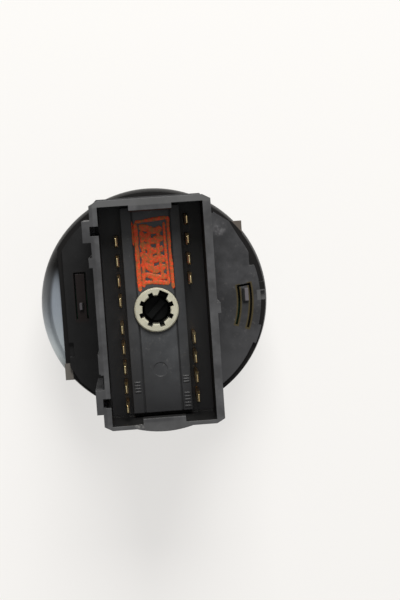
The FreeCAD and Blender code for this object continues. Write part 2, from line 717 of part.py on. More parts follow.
slot_reach = boss_radius + 0.9
for side, word in ((1, "Right"), (-1, "Left")):
    near = side * (wire_x - 0.5)
    far = side * (wire_x + 0.6)
    across = (near, far) if side > 0 else (far, near)
    cut(carrier, "SpringSlot" + word, [box(*across, -slot_reach, slot_reach)],
        S.spring_level - wire_radius, S.spring_level + 0.45)
post = add(carrier, "BoardPost", [box(S.lamp_circle - 0.65, S.lamp_circle + 2.15, -1.4, 1.4)],
           S.board_back, S.flange_front, turn=45.0)
around(carrier, "BoardPosts", post, 4)
post_x = S.chamber_half_x - 2.1
post_y = S.chamber_half_y - 2.9
add(carrier, "DividerPosts", [
    box(x - 1.3, x + 1.3, y - 1.3, y + 1.3) for x in (-post_x, post_x) for y in (-post_y, post_y)
], S.flange_back, S.divider_front)
add(carrier, "GuidePost", [box(-1.5, 1.5, S.guide_post_y - 1.5, S.guide_post_y + 1.5)],
    S.flange_back, S.divider_front)
window_front = S.flange_back + 3.4
hook_inner = S.chamber_half_y - 1.8
hook_outer = S.chamber_half_y - 0.5
for side, word in ((1, "Top"), (-1, "Bottom")):
    add(carrier, "Hook" + word, [[
        (side * hook_inner, S.flange_back),
        (side * hook_outer, S.flange_back),
        (side * hook_outer, window_front),
        (side * (hook_outer + 1.6), window_front),
        (side * hook_outer, window_front + 2.8),
        (side * hook_inner, window_front + 2.8),
    ]], -2.6, 2.6, plane="YZ_Plane")
lead_right = (S.row_x, -3.5 * S.pin_pitch)
lead_left = (0.0 - S.row_x, -S.left_row_down - 3.0 * S.pin_pitch)
lead_holes = [
    box(x - 0.5, x + 0.5, y - 0.8, y + 0.8) for x, y in (lead_right, lead_left)
]
cut(carrier, "LeadHoles", lead_holes, S.flange_front, S.flange_back)
arm_slot = 0.6
arm_out = S.plate_radius - 2.4
arm_in = arm_out - 3.8
arm_low = -19.0
arm_high = 8.0
bridge_angle = 1.4
cut(carrier, "RightArmGap", [[
    (*at_angle(arm_in, arm_low), arm_in, 1),
    at_angle(arm_in, arm_high),
    (*at_angle(arm_out, arm_high), arm_out, -1),
    at_angle(arm_out, arm_low),
    (*at_angle(arm_out - arm_slot, arm_low), arm_out - arm_slot, 1),
    at_angle(arm_out - arm_slot, arm_high - bridge_angle),
    (*at_angle(arm_in + arm_slot, arm_high - bridge_angle), arm_in + arm_slot, -1),
    at_angle(arm_in + arm_slot, arm_low),
]], S.flange_front, S.flange_back)
cut(carrier, "SkirtGap", [arc_band(S.skirt_inner - 0.3, S.skirt_outer + 0.3, arm_low, arm_high)],
    S.dial_back, S.flange_front)
left_arm_out = S.plate_left - 2.65
left_arm_in = left_arm_out - 3.3
left_slot = 0.4
cut(carrier, "LeftArmGap", [[
    (-left_arm_out, -3.0),
    (-left_arm_out, 9.7),
    (-left_arm_in, 9.7),
    (-left_arm_in, -3.0),
    (-left_arm_in - left_slot, -3.0),
    (-left_arm_in - left_slot, 9.3),
    (left_slot - left_arm_out, 9.3),
    (left_slot - left_arm_out, -3.0),
]], S.flange_front, S.flange_back)
cut(carrier, "NotchRight", [box(S.plate_radius - 2.6, S.flange_radius + 1.0, 8.4, 11.8)],
    S.flange_step, S.flange_back)
add(carrier, "ArmTabs", [
    box(arm_in + 1.2, arm_out - 1.0, -1.1, 2.3),
    box(1.1 - left_arm_out, 2.2 - left_arm_out, -0.4, 1.5),
], S.flange_back - 0.3, S.flange_back + 0.9)

# Rear housing
# The keyed connector shroud and the contact chamber below it, in one moulding. The keys on the
# left, the nubs, the latch bosses and the end bulge make sure that only the right plug fits.

housing = new_part("rear_housing", "Rear housing")
side_bevel_x = 2.0
side_bevel_y = 1.1
bulge_x = 7.0
bulge_radius = 25.0
add(housing, "Shell", [[
    (S.shroud_half_x, side_bevel_y - S.shroud_half_y),
    (S.shroud_half_x, S.shroud_half_y - side_bevel_y),
    (S.shroud_half_x - side_bevel_x, S.shroud_half_y),
    (side_bevel_x - S.shroud_half_x, S.shroud_half_y),
    (-S.shroud_half_x, S.shroud_half_y - side_bevel_y),
    (-S.shroud_half_x, side_bevel_y - S.shroud_half_y),
    (side_bevel_x - S.shroud_half_x, -S.shroud_half_y),
    (-bulge_x, -S.shroud_half_y, bulge_radius, 1),
    (bulge_x, -S.shroud_half_y),
    (S.shroud_half_x - side_bevel_x, -S.shroud_half_y),
]], S.flange_back, S.rim_end)
key_start = S.rim_end - 24.0
wall_inside = 0.6 - S.shroud_half_x
add(housing, "Keys", [
    box(-S.shroud_half_x - 2.0, wall_inside, S.shroud_half_y - 10.1, S.shroud_half_y - 4.8),
    box(-S.shroud_half_x - 0.9, wall_inside, S.shroud_half_y - 16.3, S.shroud_half_y - 13.9),
    box(-S.shroud_half_x - 1.6, wall_inside, 4.2 - S.shroud_half_y, 10.3 - S.shroud_half_y),
    box(-S.shroud_half_x - 0.4, wall_inside, 14.3 - S.shroud_half_y, 19.2 - S.shroud_half_y),
    box(S.shroud_half_x - 0.6, S.shroud_half_x + 0.8, -1.1, 1.5),
], key_start, S.rim_end)
cut(housing, "PlugBay", [box(-S.bay_half_x, S.bay_half_x, -S.bay_half_y, S.bay_half_y)],
    S.block_ledge - 1.0, S.rim_end)
end_relief = 0.6
cut(housing, "EndRelief", [box(-S.bay_half_x, S.bay_half_x, -S.bay_half_y - end_relief, 0.5 - S.bay_half_y)],
    S.block_ledge, S.rim_end)
cut(housing, "KeySlots", [
    box(-S.shroud_half_x - 0.1, 0.5 - S.bay_half_x, S.shroud_half_y - 8.5, S.shroud_half_y - 6.2),
    box(0.1 - S.shroud_half_x, 0.5 - S.bay_half_x, 5.8 - S.shroud_half_y, 8.1 - S.shroud_half_y),
], S.block_ledge, S.rim_end)
cut(housing, "SideRecess", [
    box(-S.shroud_half_x - 0.1, 0.7 - S.shroud_half_x, 10.3 - S.shroud_half_y, 14.0 - S.shroud_half_y),
], S.block_ledge + 1.0, S.rim_end)
top_boss = S.bay_half_y - 1.6
add(housing, "LatchTop", [[
    (S.bay_half_y + 0.4, S.rim_end - 9.0),
    (S.bay_half_y, S.rim_end - 9.0),
    (top_boss, S.rim_end - 6.5),
    (top_boss, S.rim_end - 1.2),
    (top_boss + 0.3, S.rim_end),
    (S.bay_half_y + 0.4, S.rim_end),
]], -5.3, 5.3, plane="YZ_Plane")
low_wall = S.bay_half_y + end_relief
low_boss = low_wall - 1.6
add(housing, "LatchBottom", [[
    (-low_wall - 0.4, S.rim_end - 3.6),
    (-low_wall, S.rim_end - 3.6),
    (-low_boss, S.rim_end - 2.4),
    (-low_boss, S.rim_end - 0.6),
    (-low_boss - 0.2, S.rim_end),
    (-low_wall - 0.4, S.rim_end),
]], -5.3, 5.3, plane="YZ_Plane")
cut(housing, "Chamber",
    [box(-S.chamber_half_x, S.chamber_half_x, -S.chamber_half_y, S.chamber_half_y)],
    S.flange_back, S.block_ledge)
cut(housing, "HookWindows", [box(-3.0, 3.0, window_front, window_front + 3.2)],
    -S.shroud_half_y - 2.0, S.shroud_half_y + 2.0, plane="XZ_Plane")

# Bearing plate
# It divides the chamber, carries the rotor's front journal and clamps the terminal block.

divider = new_part("bearing_plate", "Bearing plate")
plate_gap = 0.1
add(divider, "Plate", [
    box(plate_gap - S.chamber_half_x, S.chamber_half_x - plate_gap,
        plate_gap - S.chamber_half_y, S.chamber_half_y - plate_gap),
    circle(0.0, 0.0, S.journal_radius + S.running_gap),
    box(-S.leg_x - 2.5, S.leg_x + 2.5, S.fog_y - 2.5, S.fog_y + 2.2),
], S.divider_front, S.divider_back)
cut(divider, "LeadSlots", lead_holes, S.divider_front, S.divider_back)
spacer_x = S.chamber_half_x - 1.8
spacer_y = S.chamber_half_y - 2.5
add(divider, "Spacers", [
    box(x - 1.2, x + 1.2, y - 1.4, y + 1.4)
    for x in (-spacer_x, spacer_x) for y in (-spacer_y, spacer_y)
], S.divider_back, S.block_front)
add(divider, "LeafPosts", [
    box(6.6, 8.0, S.leaf_back, S.leaf_back + 1.95),
    box(-8.0, -6.6, S.leaf_back, S.leaf_back + 1.95),
], S.divider_back, S.divider_back + 3.0)

# Turn detent
# A leaf spring whose nose drops into one drum notch at each lamp position.

leaf = new_part("turn_detent_spring", "Turn detent leaf spring")
nose = S.drum_radius - S.notch_depth + 0.22
leaf_front = S.leaf_back - S.strip_thick
outer_half = [
    (0.25, nose),
    (1.2, S.leaf_back - 1.1),
    (2.0, S.leaf_back - 0.7),
    (6.5, leaf_front),
    (8.1, leaf_front),
    (9.2, S.leaf_back + 1.25),
]
inner_half = [
    (8.95, S.leaf_back + 1.43),
    (8.02, S.leaf_back),
    (6.45, S.leaf_back),
    (1.95, S.leaf_back - 0.7 + S.strip_thick),
    (1.0, S.leaf_back - 1.15 + S.strip_thick),
    (0.12, nose + S.strip_thick + 0.03),
]
right_side = outer_half + inner_half
left_side = [(-x, y) for x, y in reversed(right_side)]
add(leaf, "Leaf", [right_side + left_side], S.divider_back + 0.6, S.divider_back + 2.4)

# Pull detent
# A hairpin of spring wire. Its two legs lie in a groove of the shaft at each pull step.

hairpin = new_part("pull_detent_spring", "Pull detent hairpin spring")
leg_front = 0.5 - boss_radius
leg_back = boss_radius - 2.1
wire_path = draw(hairpin, "WirePath", "XY_Plane", [[
    (wire_x, leg_front),
    (wire_x, leg_back, wire_x, 1),
    (0.0, leg_back + wire_x, wire_x, 1),
    (-wire_x, leg_back),
    (-wire_x, leg_front),
]], S.spring_level, closed=False)
wire_end = draw(hairpin, "WireSection", "XZ_Plane", [circle(wire_x, S.spring_level, wire_radius)],
                -leg_front)
sweep = hairpin.newObject("PartDesign::AdditivePipe", "Wire")
sweep.Profile = wire_end
sweep.Spine = (wire_path, [f"Edge{number}" for number in range(1, 5)])

# Terminal block
# A floor that holds the terminals, and the raised platform around the splined hub.

block = new_part("terminal_block", "Terminal block")
block_gap = 0.03
pin_gap = 0.02
add(block, "Floor", [
    box(block_gap - S.chamber_half_x, S.chamber_half_x - block_gap,
        block_gap - S.chamber_half_y, S.chamber_half_y - block_gap),
], S.block_front, S.block_ledge)
add(block, "Platform", [
    box(-S.platform_half_x, S.platform_half_x, -S.platform_half_y, S.platform_half_y),
], S.block_ledge, S.platform_back)
cut(block, "HubBore", [circle(0.0, 0.0, S.hub_radius + S.running_gap)],
    S.block_front, S.platform_back)
right_rows = [step * S.pin_pitch for step in (-4.5, -3.5, -2.5, -1.5, 1.5, 2.5, 3.5, 4.5)]
left_rows = [S.left_row_up + step * S.pin_pitch for step in range(4)]
left_rows += [-S.left_row_down - step * S.pin_pitch for step in range(5)]
seats = [(S.row_x, y) for y in right_rows] + [(0.0 - S.row_x, y) for y in left_rows]
pin_x = S.pin_thick / 2.0
pin_y = S.pin_wide / 2.0
shoulder_x = pin_x + 0.2
shoulder_y = pin_y + 0.3
shoulder_back = S.block_front + 0.9
cut(block, "TerminalSlots", [
    box(x - pin_x - pin_gap, x + pin_x + pin_gap, y - pin_y - pin_gap, y + pin_y + pin_gap)
    for x, y in seats
], S.block_front, S.block_ledge)
cut(block, "ShoulderSeats", [
    box(x - shoulder_x - pin_gap, x + shoulder_x + pin_gap,
        y - shoulder_y - pin_gap, y + shoulder_y + pin_gap)
    for x, y in seats
], S.block_front, shoulder_back + pin_gap)
cut(block, "LongGrooves", [
    box(x - 0.25, x + 0.25, 0.0 - S.platform_half_y, S.platform_half_y)
    for x in (2.85 - S.platform_half_x, S.platform_half_x - 2.55)
], S.platform_back - 0.6, S.platform_back)
cut(block, "EjectorMark", [circle(0.0, -S.hub_radius - 9.65, 1.8)],
    S.platform_back - 0.15, S.platform_back)
core_x = S.platform_half_x - 1.3
core_in = S.hub_radius + 7.85
core_out = S.platform_half_y - 1.8
cut(block, "Cores", [box(-core_x, core_x, core_in, core_out), box(-core_x, core_x, -core_out, -core_in)],
    S.block_front, S.platform_back - 1.8)

# Terminals
# Flat brass blades with thin tips. A wider foot holds each of them in the front of the block.

pin_names = [f"terminal_right_{number}" for number in range(1, 9)]
pin_names += [f"terminal_left_{number}" for number in range(1, 10)]
tip_half = 0.12
for name, (x, y) in zip(pin_names, seats):
    pin = new_part(name, name.replace("_", " ").capitalize())
    add(pin, "Blade", [[
        (-pin_y, S.block_front),
        (pin_y, S.block_front),
        (pin_y, S.pin_tip - 2.0),
        (pin_y - 0.5, S.pin_tip),
        (0.5 - pin_y, S.pin_tip),
        (-pin_y, S.pin_tip - 2.0),
    ]], -pin_x, pin_x, plane="YZ_Plane")
    add(pin, "Foot", [box(-shoulder_x, shoulder_x, -shoulder_y, shoulder_y)],
        S.block_front, shoulder_back)
    cut(pin, "TipBevels", [
        [(side * tip_half, S.pin_tip), (side * (pin_x + 0.6), S.pin_tip),
         (side * (pin_x + 0.6), S.pin_tip - 1.8), (side * (pin_x + 0.01), S.pin_tip - 1.8)]
        for side in (1, -1)
    ], -pin_y - 0.5, pin_y + 0.5, plane="XZ_Plane")
    place(pin, x, y)

# Contact tracks
# Stamped brass on the front of the terminal block, each with a leg under its terminal.

leg_in = S.row_x - 0.6
leg_out = S.row_x + 0.6
feed = new_part("track_feed", "Feed track")
add(feed, "Ring", [circle(0.0, 0.0, S.inner_track_out), circle(0.0, 0.0, S.inner_track_in)],
    S.track_front, S.block_front)
add(feed, "Leg", [box(-S.row_x - 0.5, 0.6 - S.inner_track_out, S.left_row_up - 1.8, S.left_row_up + 1.8)],
    S.track_front, S.block_front)

park = new_part("track_park", "Parking lamp track")
park_y = 1.5 * S.pin_pitch
add(park, "Arc", [arc_band(S.outer_track_in, S.outer_track_out, -12.0, 48.0)],
    S.track_front, S.block_front)
add(park, "Leg", [[
    (leg_in - 0.6, park_y - 0.9),
    (leg_out, park_y - 0.9),
    (leg_out, park_y + 1.8),
    (leg_in, park_y + 1.8),
    (leg_in, park_y + 0.1),
    (leg_in - 0.6, park_y + 0.1),
]], S.track_front, S.block_front)

low_beam = new_part("track_low_beam", "Low beam track")
low_beam_y = -S.left_row_down - 2.0 * S.pin_pitch
add(low_beam, "Arc", [arc_band(S.outer_track_in, S.outer_track_out, 257.0, 286.0)],
    S.track_front, S.block_front)
add(low_beam, "Leg", [[
    at_angle(S.outer_track_in + 0.3, 259.0),
    at_angle(S.outer_track_out - 0.15, 260.0),
    (0.2 - leg_in, low_beam_y - 1.9),
    (-leg_out, low_beam_y - 1.9),
    (-leg_out, low_beam_y + 1.9),
    (-leg_in - 0.2, low_beam_y + 1.9),
    at_angle(S.outer_track_in + 0.75, 252.0),
]], S.track_front, S.block_front)

automatic = new_part("track_automatic", "Automatic lamp track")
automatic_y = 2.5 * S.pin_pitch
add(automatic, "Arc", [arc_band(S.outer_track_in, S.outer_track_out, 52.0, 74.0)],
    S.track_front, S.block_front)
add(automatic, "Leg", [[
    at_angle(S.outer_track_in + 0.4, 55.0),
    at_angle(S.outer_track_out - 0.1, 52.2),
    (leg_out, automatic_y - 1.5),
    (leg_out, automatic_y + 1.7),
    (leg_in, automatic_y + 1.7),
    at_angle(S.outer_track_in + 1.1, 60.2),
]], S.track_front, S.block_front)

# Board leads
# Two straight leads from the terminals to the back of the lamp board.

for name, (x, y) in (("board_lead_right", lead_right), ("board_lead_left", lead_left)):
    lead = new_part(name, name.replace("_", " ").capitalize())
    add(lead, "Lead", [box(-0.3, 0.3, -0.6, 0.6)], S.board_back, S.block_front)
    place(lead, x, y)

# Fog slider
# A fork around the shaft's neck carries an arm that rides on the guide post, and a leg with
# a contact bridge on each side.

slider = new_part("fog_slider", "Fog slider")
fork_bore = S.shaft_radius - 1.5 + S.running_gap
fork_outer = S.shaft_radius + 1.7
fork_tip_y = root_of(fork_outer * fork_outer - fork_bore * fork_bore)
arm_x = S.leg_x + 0.7
arm_root_y = root_of(fork_outer * fork_outer - arm_x * arm_x)
arm_end_y = S.guide_post_y + 3.0
add(slider, "Fork", [[
    (fork_bore, -fork_tip_y, fork_outer, 1),
    (arm_x, arm_root_y),
    (arm_x, arm_end_y),
    (-arm_x, arm_end_y),
    (-arm_x, arm_root_y, fork_outer, 1),
    (-fork_bore, -fork_tip_y),
    (-fork_bore, 0.0, fork_bore, -1),
    (0.0, fork_bore, fork_bore, -1),
    (fork_bore, 0.0),
]], S.fork_front, S.fork_back)
guide_hole = 1.5 + S.running_gap
cut(slider, "GuideHole", [
    box(-guide_hole, guide_hole, S.guide_post_y - guide_hole, S.guide_post_y + guide_hole),
], S.fork_front, S.fork_back)
add(slider, "Leg", [box(-S.leg_x, S.leg_x, S.fog_y - 1.8, S.fog_y + 1.5)],
    S.fork_back, S.track_front - 0.4)

# Fog contacts
# Each bridge bows outward from the slider's leg and meets its strip once the knob is pulled.

bridge_foot = S.fork_back + 0.6
strip_x = S.leg_x + 0.97
for side, word in ((1, "right"), (-1, "left")):
    bridge = new_part("fog_bridge_" + word, "Fog contact bridge, " + word)
    add(bridge, "Bow", [[
        (side * S.leg_x, bridge_foot),
        (side * (S.leg_x + 0.28), bridge_foot),
        (side * (S.leg_x + 0.28), bridge_foot + 1.1),
        (side * (S.leg_x + 0.92), bridge_foot + 3.1),
        (side * (S.leg_x + 0.92), bridge_foot + 3.6),
        (side * (S.leg_x + 0.45), bridge_foot + 5.3),
        (side * (S.leg_x + 0.18), bridge_foot + 5.25),
        (side * (S.leg_x + 0.63), bridge_foot + 3.55),
        (side * (S.leg_x + 0.63), bridge_foot + 3.15),
        (side * S.leg_x, bridge_foot + 1.2),
    ]], S.fog_y - 1.2, S.fog_y + 0.8, plane="XZ_Plane")
    strip = new_part("fog_strip_" + word, "Fog contact strip, " + word)
    touch = S.fork_back + (1.9 if side > 0 else -1.1)
    add(strip, "Blade", [[
        (side * (strip_x + 0.48), S.block_front),
        (side * (strip_x + 0.48), touch + 0.8),
        (side * strip_x, touch),
        (side * strip_x, S.flange_back + 2.0),
        (side * (strip_x + 0.48), S.flange_back + 1.4),
        (side * (strip_x + 0.48), touch - 0.2),
        (side * (strip_x + 0.98), touch + 0.6),
        (side * (strip_x + 0.98), S.track_front),
        (side * leg_out, S.track_front),
        (side * leg_out, S.block_front),
    ]], S.fog_y - 1.3, S.fog_y + 1.4, plane="XZ_Plane")

# Check and write every piece

doc.recompute()
for item in doc.Objects:
    state = " ".join(item.State)
    if "Invalid" in state or "Error" in state:
        raise RuntimeError(f"{item.Name} failed: {state}")
    if item.TypeId == "Sketcher::SketchObject" and not item.FullyConstrained:
        raise RuntimeError(f"{item.Name} is not fully constrained")
    if item.TypeId in ("PartDesign::Pocket", "PartDesign::Pad"):
        before = item.BaseFeature.Shape.Volume if item.BaseFeature else 0.0
        change = item.Shape.Volume - before
        if (change > -1e-4) == (item.TypeId == "PartDesign::Pocket"):
            raise RuntimeError(f"{item.Name} in {item.getParentGeoFeatureGroup().Name} changed nothing")

os.makedirs("parts", exist_ok=True)
for name, part in parts.items():
    shape = part.Shape
    if shape.isNull() or not shape.isValid() or len(shape.Solids) != 1:
        raise RuntimeError(f"{name} is not one valid solid")
    shape.exportStep(f"parts/{name}.step")
    print(f"{name}: {shape.Volume:.1f} mm3")
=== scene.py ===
import bpy
import numpy as np
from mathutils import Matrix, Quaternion, Vector


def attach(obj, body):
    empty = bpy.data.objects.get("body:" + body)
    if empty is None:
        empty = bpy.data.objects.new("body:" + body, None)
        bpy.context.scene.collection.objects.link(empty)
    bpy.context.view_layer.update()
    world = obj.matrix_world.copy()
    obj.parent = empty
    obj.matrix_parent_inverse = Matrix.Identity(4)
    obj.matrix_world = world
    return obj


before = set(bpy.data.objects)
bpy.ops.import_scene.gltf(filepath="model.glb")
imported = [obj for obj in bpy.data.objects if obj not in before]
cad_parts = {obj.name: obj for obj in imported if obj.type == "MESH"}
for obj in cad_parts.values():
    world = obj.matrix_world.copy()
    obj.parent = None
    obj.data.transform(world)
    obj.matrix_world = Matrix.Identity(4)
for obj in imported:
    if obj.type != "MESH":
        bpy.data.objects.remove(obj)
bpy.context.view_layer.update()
scene = bpy.context.scene

# Rear housing.
# The connector shroud and the contact chamber below it, injection moulded in one piece from black
# glass-filled nylon with a fine spark-eroded grain. It clips onto the front carrier.


def wire(tree, kind, values=None, **settings):
    """Adds a shader node to a tree. A value that is a socket gets linked, and any other is set."""
    node = tree.nodes.new(kind)
    for name, setting in settings.items():
        setattr(node, name, setting)
    for key, value in (values or {}).items():
        if isinstance(value, bpy.types.NodeSocket):
            tree.links.new(value, node.inputs[key])
        else:
            node.inputs[key].default_value = value
    return node


def math_node(tree, operation, first, second=0.0, third=0.0):
    """Output of one arithmetic step."""
    return wire(tree, "ShaderNodeMath", {0: first, 1: second, 2: third}, operation=operation).outputs[0]


def product(tree, *values):
    """Output of all the values multiplied."""
    result = values[0]
    for value in values[1:]:
        result = math_node(tree, "MULTIPLY", result, value)
    return result


def widest(tree, *values):
    """Output of the largest of the values."""
    result = values[0]
    for value in values[1:]:
        result = math_node(tree, "MAXIMUM", result, value)
    return result


def ramp(tree, value, low, high, to_low=0.0, to_high=1.0):
    """Output of a smooth step from low to high. Where low is the larger, it rises downwards."""
    return wire(tree, "ShaderNodeMapRange", {
        "Value": value, "From Min": low, "From Max": high, "To Min": to_low, "To Max": to_high,
    }, interpolation_type="SMOOTHSTEP").outputs["Result"]


def within(tree, value, low, high, soft=0.0001):
    """Output that is one between low and high and falls to nothing over soft beyond them."""
    return product(tree, ramp(tree, value, low - soft, low), ramp(tree, value, high + soft, high))


def mix_colour(tree, share, first, second):
    """Output of a blend from the first colour to the second."""
    node = wire(tree, "ShaderNodeMix", data_type="RGBA", clamp_factor=True)
    for socket, value in ((node.inputs[0], share), (node.inputs[6], first), (node.inputs[7], second)):
        if isinstance(value, bpy.types.NodeSocket):
            tree.links.new(value, socket)
        elif isinstance(value, (int, float)):
            socket.default_value = value
        else:
            socket.default_value = (*value, 1.0)
    return node.outputs[2]


def object_point(tree):
    """Output of the point on the piece, in metres."""
    return wire(tree, "ShaderNodeTexCoord").outputs["Object"]


def coordinates(tree):
    """Outputs of the point's X, Y and Z."""
    split = wire(tree, "ShaderNodeSeparateXYZ", {0: object_point(tree)})
    return split.outputs["X"], split.outputs["Y"], split.outputs["Z"]


def distance_from(tree, x, y, centre=(0.0, 0.0)):
    """Output of the distance in plan from an upright line: sqrt((x - x0) ** 2 + (y - y0) ** 2)."""
    across = math_node(tree, "SUBTRACT", x, centre[0])
    along = math_node(tree, "SUBTRACT", y, centre[1])
    square = math_node(tree, "MULTIPLY_ADD", across, across, product(tree, along, along))
    return math_node(tree, "SQRT", square)


def spot(tree, x, y, centre, radius):
    """Output that is one at a place of the plan and fades to nothing at the radius."""
    return ramp(tree, distance_from(tree, x, y, centre), radius, radius * 0.3)


def noise(tree, point, scale, detail=2.0, roughness=0.5):
    """Output of a noise whose features are one over scale metres wide."""
    return wire(tree, "ShaderNodeTexNoise", {
        "Vector": point, "Scale": scale, "Detail": detail, "Roughness": roughness,
    }).outputs["Fac"]


def new_group(name, inputs, outputs):
    """An empty node group, its input node and its output node. Inputs carry their usual values."""
    tree = bpy.data.node_groups.new(name, "ShaderNodeTree")
    for label, value in inputs.items():
        socket = tree.interface.new_socket(label, in_out="INPUT", socket_type="NodeSocketFloat")
        socket.default_value = value
    for label, kind in outputs.items():
        tree.interface.new_socket(label, in_out="OUTPUT", socket_type="NodeSocket" + kind)
    return tree, tree.nodes.new("NodeGroupInput"), tree.nodes.new("NodeGroupOutput")


# The skin of a moulding: fine eroded grain, slow blotches of tone, and dust on upward faces.
grain_size = 0.00016
blotch_size = 0.006
dust_share = 0.3
dust_speck_scale = 900.0
dust_patch_scale = 130.0
skin, given, result = new_group(
    "moulding_skin",
    {"Grain size": grain_size, "Blotch size": blotch_size, "Dust": dust_share},
    {"Grain": "Float", "Blotch": "Float", "Dust mask": "Float"},
)
where = object_point(skin)
fine = noise(skin, where, math_node(skin, "DIVIDE", 1.0, given.outputs["Grain size"]), 3.0, 0.6)
slow = noise(skin, where, math_node(skin, "DIVIDE", 1.0, given.outputs["Blotch size"]), 4.0, 0.6)
facing = wire(skin, "ShaderNodeNewGeometry").outputs["Normal"]
upward = ramp(skin, wire(skin, "ShaderNodeSeparateXYZ", {0: facing}).outputs["Z"], 0.55, 0.95)
specks = ramp(skin, noise(skin, where, dust_speck_scale, 5.0, 0.7), 0.56, 0.68)
patches = ramp(skin, noise(skin, where, dust_patch_scale, 3.0, 0.6), 0.42, 0.62)
dust = product(skin, specks, patches, upward, given.outputs["Dust"])
skin.links.new(fine, result.inputs["Grain"])
skin.links.new(slow, result.inputs["Blotch"])
skin.links.new(dust, result.inputs["Dust mask"])

# The softened corner of a moulding or a stamping, and a mask of where it is worn.
edge_radius = 0.00022
edge_wear = 0.5
rub_scale = 420.0
edge, given, result = new_group(
    "rounded_edge",
    {"Radius": edge_radius, "Wear": edge_wear},
    {"Normal": "Vector", "Worn": "Float"},
)
rounded = wire(edge, "ShaderNodeBevel", {"Radius": given.outputs["Radius"]}, samples=4).outputs["Normal"]
flat = wire(edge, "ShaderNodeNewGeometry").outputs["Normal"]
likeness = wire(edge, "ShaderNodeVectorMath", {0: rounded, 1: flat}, operation="DOT_PRODUCT")
bent = ramp(edge, likeness.outputs["Value"], 0.985, 0.80)
rubbed = ramp(edge, noise(edge, object_point(edge), rub_scale, 4.0, 0.65), 0.35, 0.62)
edge.links.new(rounded, result.inputs["Normal"])
edge.links.new(product(edge, bent, rubbed, given.outputs["Wear"]), result.inputs["Worn"])

dust_grey = (0.42, 0.40, 0.37)
grain_depth = 0.00004


def place_group(tree, group, **values):
    """A group node with its own values. Underscores in the names stand for blanks."""
    node = tree.nodes.new("ShaderNodeGroup")
    node.node_tree = group
    for key, value in values.items():
        node.inputs[key.replace("_", " ")].default_value = value
    return node


def principled(material):
    """A material's Principled shader."""
    return material.node_tree.nodes["Principled BSDF"]


def new_material(name):
    """A material, its tree and its Principled shader."""
    material = bpy.data.materials.new(name)
    material.use_nodes = True
    return material, material.node_tree, principled(material)


def add_relief(tree, shader, surface, corner, strength, depth):
    """Gives a shader the skin's grain as a bump over the rounded corner's normal."""
    relief = wire(tree, "ShaderNodeBump", {
        "Height": surface.outputs["Grain"], "Normal": corner.outputs["Normal"],
        "Strength": strength, "Distance": depth,
    })
    tree.links.new(relief.outputs["Normal"], shader.inputs["Normal"])


def moulded(name, colour, worn_colour, roughness, grain=grain_size, bump=0.25, dust=dust_share,
            wear=edge_wear, blotch=blotch_size, contrast=0.3, gloss=0.5):
    """Plastic from a mould: blotched colour, eroded grain, worn rounded edges and some dust."""
    material, tree, shader = new_material(name)
    surface = place_group(tree, skin, Grain_size=grain, Blotch_size=blotch, Dust=dust)
    corner = place_group(tree, edge, Radius=edge_radius, Wear=wear)
    deep = tuple(channel * (1.0 - contrast) for channel in colour)
    pale = tuple(channel * (1.0 + contrast) for channel in colour)
    tone = mix_colour(tree, ramp(tree, surface.outputs["Blotch"], 0.3, 0.7), deep, pale)
    tone = mix_colour(tree, corner.outputs["Worn"], tone, worn_colour)
    tone = mix_colour(tree, surface.outputs["Dust mask"], tone, dust_grey)
    tree.links.new(tone, shader.inputs["Base Color"])
    rough = ramp(tree, surface.outputs["Grain"], 0.3, 0.7, roughness - 0.07, roughness + 0.07)
    tree.links.new(rough, shader.inputs["Roughness"])
    shader.inputs["Specular IOR Level"].default_value = gloss
    add_relief(tree, shader, surface, corner, bump, grain_depth)
    return material


def tint(material, share, colour):
    """Lays a colour over a material's own, by a share that changes over the surface."""
    tree = material.node_tree
    base = principled(material).inputs["Base Color"]
    tree.links.new(mix_colour(tree, share, base.links[0].from_socket, colour), base)


def dress(material, *names):
    """Puts a material on CAD nodes."""
    for name in names:
        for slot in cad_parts[name].material_slots:
            slot.material = material


# A pair for a ramp gives the places where a tint starts and where it is full. A pair for within
# gives its two edges.
bay_x = (-0.0142, 0.0141)
bay_y = (-0.0279, 0.0273)
bay_z = (0.0300, 0.0596)
bay_soft = 0.0003
rim_z = (0.0585, 0.0592)
top_rim_y = (0.0266, 0.0270)
bottom_rim_y = (-0.0268, -0.0272)
shaded_left_wall_x = (-0.0139, -0.0144)
scuff_place = (-0.0062, -0.0272)
scuff_radius = 0.0016
scuff_scale = 700.0

housing_black = moulded(
    "housing_black", (0.060, 0.060, 0.062), (0.15, 0.15, 0.148), 0.5, wear=0.55, dust=0.06, gloss=0.25)
tree = housing_black.node_tree
x, y, z = coordinates(tree)
rim = ramp(tree, z, *rim_z)
lit_rim_ends = widest(tree, ramp(tree, y, *top_rim_y, 0.0, 0.6), ramp(tree, y, *bottom_rim_y, 0.0, 0.25))
shaded_left_wall = product(tree, ramp(tree, x, *shaded_left_wall_x), 0.35)
bay_shade = product(tree, within(tree, x, *bay_x), within(tree, y, *bay_y), within(tree, z, *bay_z, bay_soft))
scuffs = ramp(tree, noise(tree, object_point(tree), scuff_scale, 4.0, 0.7), 0.45, 0.62)
scuff = product(tree, spot(tree, x, y, scuff_place, scuff_radius), scuffs, rim)
# Painted light: the rim's top face is painted lighter at its two ends, most at the upper end, which faces
# the lamp.
tint(housing_black, product(tree, rim, lit_rim_ends), (0.105, 0.105, 0.104))
# Painted shade: the shroud's left wall, away from the lamp, is painted darker.
tint(housing_black, shaded_left_wall, (0.022, 0.022, 0.023))
# Painted shade: the inside of the shroud below its rim is painted near black, where shade falls deep in it.
tint(housing_black, bay_shade, (0.008, 0.008, 0.008))
tint(housing_black, scuff, (0.34, 0.33, 0.31))
dress(housing_black, "rear_housing")
